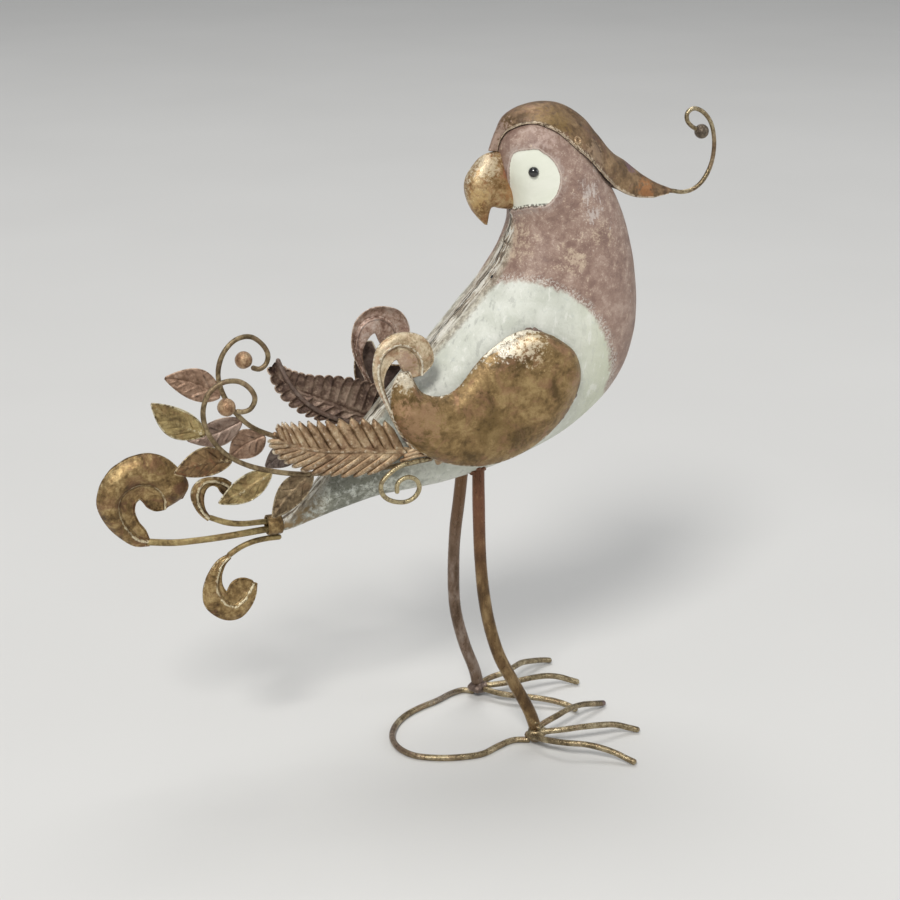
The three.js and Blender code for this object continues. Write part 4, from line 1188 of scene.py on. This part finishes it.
def tail_collar():
    """A short tube on the tail tip, with a squashed, uneven mouth."""
    sides = 48
    angle = np.linspace(0, 2 * np.pi, sides, endpoint=False)
    out = np.stack([0 * angle, np.cos(angle), np.sin(angle)], -1)
    rings = np.array([[COLLAR_MOUTH - h, 0, TAIL_Z] + r * out for r, h in COLLAR_OUTLINE])
    rings += 0.18 * ripple(rings, 5, 71)[..., None] * out
    faces = grid_faces(len(rings), sides, closed=True)
    last = (len(rings) - 1) * sides
    faces += [[last + k, last + (k + 1) % sides, (k + 1) % sides, k] for k in range(sides)]
    return Shape(rings.reshape(-1, 3), faces).facing_out()


# ---- Legs and feet ----

LEG_RADIUS = 4
FOOT_WIRE = 2
LEG_PATHS = {
    "right": [[14, -14, 192], [12.5, -19, 165], [12, -23.5, 130], [13, -27, 106], [16, -30, 84],
              [22, -33, 62], [31, -36, 43], [41.1, -38.9, 22], [45.6, -40.5, 8]],
    "left": [[15, 14, 190], [13, 18, 155], [12, 23, 130], [12, 26, 105], [15, 31, 72], [23, 35, 43],
             [32, 38.5, 20], [35, 40, 8]],
}
ANKLES = {"right": [45.2, -40.6, 6.6], "left": [35.2, 40.1, 6.6]}
TOES = {
    "right": {
        "inner": [[46, -38, 8], [53, -35, 10], [65, -30, 11.5], [76, -23.5, 11.5], [88, -16.5, 9.5],
                  [101, -10.5, 5.5], [110, -5.5, 2.2]],
        "middle": [[46, -42.5, 8], [52, -46, 9.5], [61, -49, 10.5], [73, -50.5, 11], [87, -50.3, 10],
                   [98.5, -48.5, 7.5], [108, -48.8, 4], [115, -51.5, 2.2]],
        "outer": [[41, -44.5, 6.5], [46.5, -57, 9], [55, -67.5, 10.5], [66.5, -73, 10], [75, -78, 8.5],
                  [83, -83.5, 6], [88.5, -89.5, 3.8], [93, -94, 2.2]],
    },
    "left": {
        "inner": [[37, 36, 6.5], [47.5, 23, 6.3], [60, 14, 6.5], [69, 8.5, 6], [77, 3.5, 5],
                  [84, -2.5, 3.5], [88, -9.5, 2.2]],
        "middle": [[38, 38, 8], [46, 34.5, 9], [60, 30.5, 11], [73, 31, 11.5], [84, 33, 10],
                   [93.5, 34.5, 7], [101, 33.5, 4], [107, 31, 2.2]],
        "outer": [[38, 42, 8], [46, 45, 9.5], [56, 46, 11], [64, 50.5, 11.3], [75, 59.5, 10], [86, 66, 7],
                  [96, 71, 4], [103, 72, 2.2]],
    },
}
FOOT_LOOP = [
    [42, -39.5], [31, -36.2], [18.5, -41], [5, -47.8], [-9, -47.6], [-26, -42.5], [-37.5, -34.5],
    [-43, -22], [-42.5, -6], [-35.5, 9.5], [-24, 22.5], [-12, 30.3], [4, 37.5], [18, 45.5], [27, 47.5],
    [34, 42.5],
]


# The smaller lumps round each ankle: their offset and size.
ANKLE_LUMPS = [(4.4, -2.2, 1.4, 2.7), (-4.4, 1.2, -0.8, 2.6), (2.5, 3.8, 1.6, 2.7), (-1.5, -4.0, 0.6, 2.6),
               (0.5, -2.8, 5.6, 1.9), (-1.4, -1.6, 8.6, 1.5)]
HIP_LUMPS = 7
HIP_RING = 4.1


def ankle_weld(side):
    """The weld that joins a leg, its toes and the loop."""
    x, y, z = ANKLES[side]
    pieces = [lump((x, y, z), (6.3, 5.8, 5.0), 0.18, 4.0, 81)]
    for k, (dx, dy, dz, r) in enumerate(ANKLE_LUMPS):
        pieces.append(lump((x + dx, y + dy, z + dz), (r * 1.15, r, r * 0.9), 0.22, 2.2, 90 + k, 16, 22))
    return joined(pieces)


def hip_weld(side):
    """The bead of weld round a leg where it meets the belly."""
    out = -1 if side == "right" else 1
    x, y, _ = LEG_PATHS[side][0]
    lumps = []
    for k in range(HIP_LUMPS):
        angle = 2 * math.pi * k / HIP_LUMPS
        bx, by = x - 0.9 + HIP_RING * math.cos(angle), y + out * 1.6 + HIP_RING * math.sin(angle)
        lumps.append(lump((bx, by, belly_height(bx, by) - 0.2), (1.7, 1.6, 1.2), 0.2, 2.2, 60 + k, 12, 16))
    return joined(lumps)


def belly_height(x, y):
    """The height of the belly's underside at a place seen from below."""
    heights = np.linspace(170, 215, 181)
    half = body_half(np.full_like(heights, x), heights)
    inside = heights[half >= abs(y)]
    return float(inside.min()) if len(inside) else 190.0


# ---- Finishes ----

PAINT = BodyPaint().complete()
BLACK = gloss_black()
# The two whitish tints on the upper shoulder, at (20, -40, 276) and (34, -42, 273), are partly scuffs and
# partly a painted highlight.
WING_GOLD = patina(
    "wing_gold", (92, 72, 40), (134, 108, 68), (170, 144, 98), (150, 112, 84), (238, 230, 210), spot=15,
    flecked=0.2, tints=[
        ((-36, -42, 232), 26, (158, 122, 94), 0.6), ((10, -46, 222), 24, (106, 84, 44), 0.5),
        ((20, -40, 276), 23, (240, 234, 218), 0.85), ((34, -42, 273), 22, (222, 208, 180), 0.8),
        ((44, -42, 262), 16, (190, 164, 120), 0.5), ((62, -40, 248), 16, (156, 120, 98), 0.6),
        ((-42, -40, 256), 12, (226, 214, 190), 0.7), ((-46, -40, 240), 12, (190, 150, 116), 0.5)])
CAP_GOLD = patina(
    "cap_gold", (88, 68, 46), (126, 100, 70), (158, 130, 96), (130, 96, 78), (216, 198, 172), spot=12,
    tints=[
        ((29, -2, 392), 24, (174, 150, 136), 0.85), ((128, -6, 356), 13, (168, 112, 66), 0.7),
        ((60, -18, 404), 20, (134, 110, 62), 0.5), ((96, 2, 392), 10, (118, 94, 112), 0.6),
        ((118, -4, 371), 10, (126, 98, 118), 0.6), ((86, -24, 383), 17, (178, 152, 124), 0.6)])
# The pale tint at (21, -6, 379) is a painted highlight on the beak's upper face.
BEAK_GOLD = patina(
    "beak_gold", (122, 90, 52), (176, 146, 104), (210, 188, 144), (158, 108, 72), (248, 240, 218),
    rough=(0.3, 0.5), spot=9, tints=[
        ((35, -9, 373), 10, (168, 106, 78), 0.75), ((38, -9, 361), 12, (160, 110, 66), 0.7),
        ((21, -6, 379), 17, (232, 218, 188), 0.6), ((16, -6, 358), 12, (200, 168, 112), 0.6)])
LEAF_GOLD = patina(
    "leaf_gold", (96, 78, 46), (146, 126, 82), (182, 162, 112), (146, 114, 76), (228, 218, 184), spot=9,
    blushed=0.4, inside=((122, 96, 76), (160, 130, 108), (188, 160, 138)))
LEAF_AMBER = patina(
    "leaf_amber", (76, 56, 34), (116, 90, 58), (150, 122, 84), (132, 88, 58), (204, 184, 142), spot=10,
    blushed=0.6, inside=((106, 86, 74), (142, 120, 106), (166, 146, 132)))
LEAF_BROWN = patina(
    "leaf_brown", (78, 62, 42), (114, 96, 70), (146, 126, 96), (120, 90, 66), (188, 170, 138), spot=9,
    blushed=0.4, inside=((84, 72, 66), (112, 98, 90), (136, 122, 114)))
SCROLL_GOLD = patina(
    "scroll_gold", (146, 120, 86), (198, 178, 146), (226, 210, 180), (190, 150, 122), (246, 240, 220),
    spot=8, inside=((126, 98, 84), (178, 150, 134), (208, 190, 178)),
    tints=[((-40, -36, 267), 14, (176, 146, 126), 0.85), ((-57, -36, 244), 11, (186, 128, 96), 0.6)])
FERN_GOLD = patina(
    "fern_gold", (116, 90, 64), (166, 138, 106), (198, 176, 142), (150, 112, 86), (236, 224, 200), spot=10,
    blushed=0.4, pale_edges_to=0.7, inside=((92, 73, 64), (130, 107, 93), (170, 148, 130)))
TAIL_TONES = ((84, 64, 38), (136, 110, 70), (186, 160, 112))
TAIL_GOLD = patina(
    "tail_gold", *TAIL_TONES, (124, 86, 66), (242, 230, 196), metallic=0.65, rough=(0.3, 0.48), spot=11,
    inside=TAIL_TONES)
WIRE_GOLD = patina(
    "wire_gold", (88, 74, 50), (128, 110, 80), (168, 150, 116), (126, 100, 80), (214, 202, 172),
    rough=(0.32, 0.52), blushed=0.4, spot=8)
ROSE = patina(
    "rose_bronze", (84, 70, 62), (120, 102, 92), (148, 132, 120), (124, 96, 80), (190, 176, 160),
    blushed=0.4, spot=9)
BRASS = patina(
    "brassed_wire", (96, 82, 60), (144, 128, 98), (190, 176, 144), (136, 108, 88), (246, 240, 222),
    metallic=0.8, rough=(0.24, 0.4), blushed=0.4, spot=9, tints=[
        ((-44, -10, 2), 44, (126, 104, 92), 0.7), ((110, -5, 3), 10, (120, 98, 104), 0.9),
        ((10, 40, 3), 30, (140, 130, 122), 0.6), ((178, 0, 374), 18, (136, 110, 86), 0.6),
        ((-46, -38, 188), 40, (184, 170, 132), 0.8), ((-46, 38, 188), 40, (184, 170, 132), 0.8)])
COPPER = patina(
    "copper_gold", (120, 90, 64), (164, 132, 100), (204, 176, 140), (160, 116, 88), (242, 228, 200),
    rough=(0.26, 0.46), blushed=0.4, spot=5)
BRONZE = patina(
    "dark_bronze", (70, 62, 52), (104, 92, 78), (136, 122, 104), (104, 84, 70), (190, 176, 150),
    rough=(0.26, 0.46), blushed=0.3, spot=4)


def leg_paint(name, dark, mid, light, top_colour):
    """Satin brassed steel, streaked lengthways, that runs to a warmer colour at the top. Its pale streaks
    are partly brushed grain and partly a painted sheen.
    """
    paint = Paint(name, metallic=0.7)
    broad = paint.noise(7, detail=5, rough=0.6, warp=0.3, stretch=(1, 1, 2))
    small = paint.noise(2, detail=5, rough=0.66, stretch=(1, 1, 2.5))
    colour = paint.ramp(broad, (0.36, dark), (0.5, mid), (0.64, light))
    colour = paint.over(colour, top_colour, paint.along("Z", 105, 165) * broad.fade(0.3, 0.6, 0.7, 1.0))
    # Pale lengthways streaks: brushed grain, and a painted sheen like the glossy streaks of a lit bar.
    colour = paint.over(colour, scaled(light, 1.15), small.fade(0.58, 0.7) * 0.4)
    colour = paint.over(colour, scaled(dark, 0.7), small.fade(0.4, 0.32) * 0.35)
    return paint.finish(colour, small.fade(0.3, 0.7, 0.24, 0.4), small, 0.15)


LEG_FINISH = {
    "right": leg_paint("leg_copper", (84, 64, 42), (112, 88, 58), (146, 122, 86), (118, 80, 60)),
    "left": leg_paint("leg_mauve", (92, 74, 58), (118, 98, 82), (146, 130, 118), (112, 84, 60)),
}


# ---- The pieces ----

build_pair("body_{}", body_shell(), PAINT, "painted_body", "body_shell_{}")
build("beak_fine", beak(), BEAK_GOLD, "head_gold", "beak")
build_pair("eye_{}", eye_bead(), BLACK, "eye_black", "eye_bead_{}")
build("cap_fine", crest_cap(), CAP_GOLD, "head_gold", "crest_cap")
build_pair("rivet_{}", crest_rivet(), FERN_GOLD, "head_gold", "crest_rivet_{}")
build("crest_curl", tube(level(CREST_PATH), CREST_WIRE, seed=1), BRASS, "brassed_steel", "crest_wire")
bead = lump(CREST_BALL, [CREST_BALL_RADIUS] * 3, 0.02, 3, 2)
build("crest_bead", bead, BRONZE, "copper_gold", "crest_ball")

build_pair("wing_{}_fine", wing(), WING_GOLD, "antique_gold", "wing_{}")
build_pair("wing_tacks_{}", wing_tacks(), ROSE, "rose_bronze")

near_scroll = strip(SCROLL_LEAF, -33.8, crown=-2, bulge=3.2, dish=0.9, bead=1.2, thickness=LEAF_SHEET,
                    seed=51)
far_scroll = dull_rim(near_scroll.mirrored()).moved(*LEFT_SCROLL_SHIFT)
build("scroll_leaf_near", near_scroll, SCROLL_GOLD, "leaf_gold", "scroll_leaf_right")
build("scroll_leaf_far", far_scroll, SCROLL_GOLD, "rose_bronze", "scroll_leaf_left")

near_fern = fern(
    RIGHT_MIDRIB,
    (13, [22, 24, 24.6, 24.8, 24.5, 23.5, 22, 20, 17, 13.5, 8.5], (34, 36, 38, 46, 54), 0.27, 2.1, 0.85),
    (13, [21, 26, 28, 27.5, 26, 24, 21.5, 18.5, 15, 11.5, 7.5], (46, 50, 54, 54, 52), 0.5, 2.0, 0.0), 52)
far_fern = fern(
    LEFT_MIDRIB,
    (13, [22, 22.3, 21.5, 19.5, 17.5, 15, 13, 11.3, 9.3, 7, 5], (5, 15, 30), 0.16, 0.9, 0.1),
    (10, [14, 17, 19, 19.3, 18, 16, 13.5, 11, 8.5, 6.3, 4.5], (45, 45, 40), 0.42, 1.3, 0.0), 53)
near_stem = tube(fern_stem(RIGHT_STEM), FERN_WIRE, seed=4)
far_stem = tube(fern_stem(LEFT_STEM), FERN_WIRE, seed=5).mirrored()
build("fern_near", near_fern, FERN_GOLD, "leaf_gold", "fern_leaf_right")
build("fern_far", dull_rim(far_fern.mirrored()), FERN_GOLD, "rose_bronze", "fern_leaf_left")
build("fern_wire_near", near_stem, FERN_GOLD, "leaf_gold", "fern_stem_right")
build("fern_wire_far", far_stem, ROSE, "rose_bronze", "fern_stem_left")

curl = tube(CURL_PATH, CURL_WIRE, seed=6)
build("curl_near", curl, BRASS, "brassed_steel", "curl_wire_right")
build("curl_far", curl.mirrored(), BRASS, "rose_bronze", "curl_wire_left")
weld = spray_weld()
build("spray_lump_right", weld, FERN_GOLD, "leaf_gold", "spray_weld_right")
build("spray_lump_left", weld.mirrored(), ROSE, "rose_bronze", "spray_weld_left")

near_branch = tube(branch(RIGHT_BRANCH, -1), BRANCH_WIRE, seed=8)
far_branch = tube(branch(LEFT_BRANCH, 1), BRANCH_WIRE, seed=9)
build("branch_near", near_branch, WIRE_GOLD, "leaf_gold", "branch_wire_right")
build("branch_far", far_branch, WIRE_GOLD, "rose_bronze", "branch_wire_left")
for side, name in (("right", "ball_near"), ("left", "ball_far")):
    middle = node_middle("branch_ball_" + side) - SHIFT
    ball = lump(middle, [BRANCH_BALL_RADIUS] * 3, 0.02, 4, 10)
    build(name, ball, COPPER, "copper_gold", "branch_ball_" + side)
LEAF_LOOKS = (LEAF_GOLD, LEAF_AMBER, LEAF_GOLD, LEAF_BROWN)
for side, out, slot in (("right", -1, "leaf_gold"), ("left", 1, "rose_bronze")):
    for k, (place, look) in enumerate(zip(LEAVES[side], LEAF_LOOKS), 1):
        name = f"leaf_{side}_{k}"
        made = leaf(place, out * SPRAY_SPREAD, out, 60 + k)
        build(name + "_fine", dull_rim(made) if out > 0 else made, look, slot, name)

build("collar", tail_collar(), TAIL_GOLD, "tail_gold", "tail_collar")
for size, path, radius, seed in (("large", LARGE_STEM, 2.1, 12), ("small", SMALL_STEM, 1.8, 13),
                                 ("lower", LOWER_STEM, 1.8, 14)):
    build("stem_" + size, tube(level(path), radius, seed=seed), LEAF_GOLD, "tail_gold", "tail_stem_" + size)
for size, lines, crown, bulge, hammer in (("large", LARGE_SCROLL, -2, 6, 0.4),
                                          ("small", SMALL_SCROLL, -1, 2.2, 0.25),
                                          ("lower", LOWER_SCROLL, -1.5, 3.2, 0.25)):
    scroll = strip(lines, 0, crown, bulge, dish=1.4, bead=1.3, thickness=TAIL_SHEET, rows=180,
                   seed=72 + len(size), hammer=hammer)
    build("scroll_" + size, scroll, TAIL_GOLD, "tail_gold", "tail_scroll_" + size)

for side, weld_look in (("right", BRASS), ("left", ROSE)):
    leg = tube(LEG_PATHS[side], LEG_RADIUS, sides=28, step=2.5, wobble=0.03, seed=15) + hip_weld(side)
    build(f"leg_{side}_fine", leg, LEG_FINISH[side], "brassed_steel", "leg_" + side)
    build(f"ankle_{side}", ankle_weld(side), weld_look, "brassed_steel", "ankle_weld_" + side)
    for k, (toe, path) in enumerate(TOES[side].items()):
        name = f"toe_{side}_{toe}"
        build(name + "_fine", tube(path, FOOT_WIRE, seed=16 + k), BRASS, "brassed_steel", name)
foot_loop = tube([[x, y, FOOT_WIRE] for x, y in FOOT_LOOP], FOOT_WIRE, seed=20, wobble=0.03)
build("foot_loop_fine", foot_loop, BRASS, "brassed_steel", "foot_loop")


# ---- Floor, light and camera ----

def floor():
    """A wide pale floor that belongs to the stage, not to the part."""
    side = 9.0
    corners = [(-side, -side, 0), (side, -side, 0), (side, side, 0), (-side, side, 0)]
    mesh = bpy.data.meshes.new("floor")
    mesh.from_pydata(corners, [], [(0, 1, 2, 3)])
    paint = Paint("pale_floor")
    cloud = paint.noise(400, detail=2)
    colour = paint.mix(cloud, linear(206, 205, 202), linear(214, 213, 210))
    mesh.materials.append(paint.finish(colour, 0.75, cloud, 0.1))
    piece = bpy.data.objects.new("floor", mesh)
    bpy.context.scene.collection.objects.link(piece)


def lamp(name, place, aim, size, power, colour=(1, 1, 1)):
    """A round area light at a place, turned to what it is aimed at."""
    light = bpy.data.lights.new(name, "AREA")
    light.shape = "DISK"
    light.size = size
    light.energy = power
    light.color = colour
    holder = bpy.data.objects.new(name, light)
    holder.location = place
    direction = np.array(aim) - np.array(place)
    holder.rotation_euler = Vector(direction).to_track_quat("-Z", "Y").to_euler()
    bpy.context.scene.collection.objects.link(holder)


floor()
world = bpy.data.worlds.new("studio")
world.use_nodes = True
sky = world.node_tree.nodes["Background"]
sky.inputs["Color"].default_value = (0.8, 0.82, 0.85, 1)
sky.inputs["Strength"].default_value = 0.4
bpy.context.scene.world = world
TARGET = (0, 0, 0.22)
lamp("key", (-2.0, -2.9, 3.6), TARGET, 1.3, 165, (1, 0.985, 0.96))
lamp("fill", (3.6, -1.7, 1.8), TARGET, 2.4, 34, (0.95, 0.97, 1))
lamp("top", (0.3, 1.6, 4.2), TARGET, 2.4, 70)

CAMERA_TURN = math.radians(-20)
CAMERA_TILT = math.radians(18.6)
CAMERA_OUT = 1290
CAMERA_HEIGHT = 629
FOCAL_PIXELS = 2135
FRAME_PIXELS = 900
camera = bpy.data.cameras.new("camera")
camera.sensor_width = 36  # millimetres
camera.lens = camera.sensor_width * FOCAL_PIXELS / FRAME_PIXELS
camera.clip_start = 0.05
camera.clip_end = 40
viewer = bpy.data.objects.new("camera", camera)
sideways, backwards = math.sin(CAMERA_TURN), -math.cos(CAMERA_TURN)
eye_point = np.array([CAMERA_OUT * sideways, CAMERA_OUT * backwards, CAMERA_HEIGHT])
viewer.location = (eye_point + SHIFT) * MM
viewer.rotation_euler = (math.pi / 2 - CAMERA_TILT, 0, CAMERA_TURN)
bpy.context.scene.collection.objects.link(viewer)
bpy.context.scene.camera = viewer
bpy.context.scene.view_settings.view_transform = "Standard"
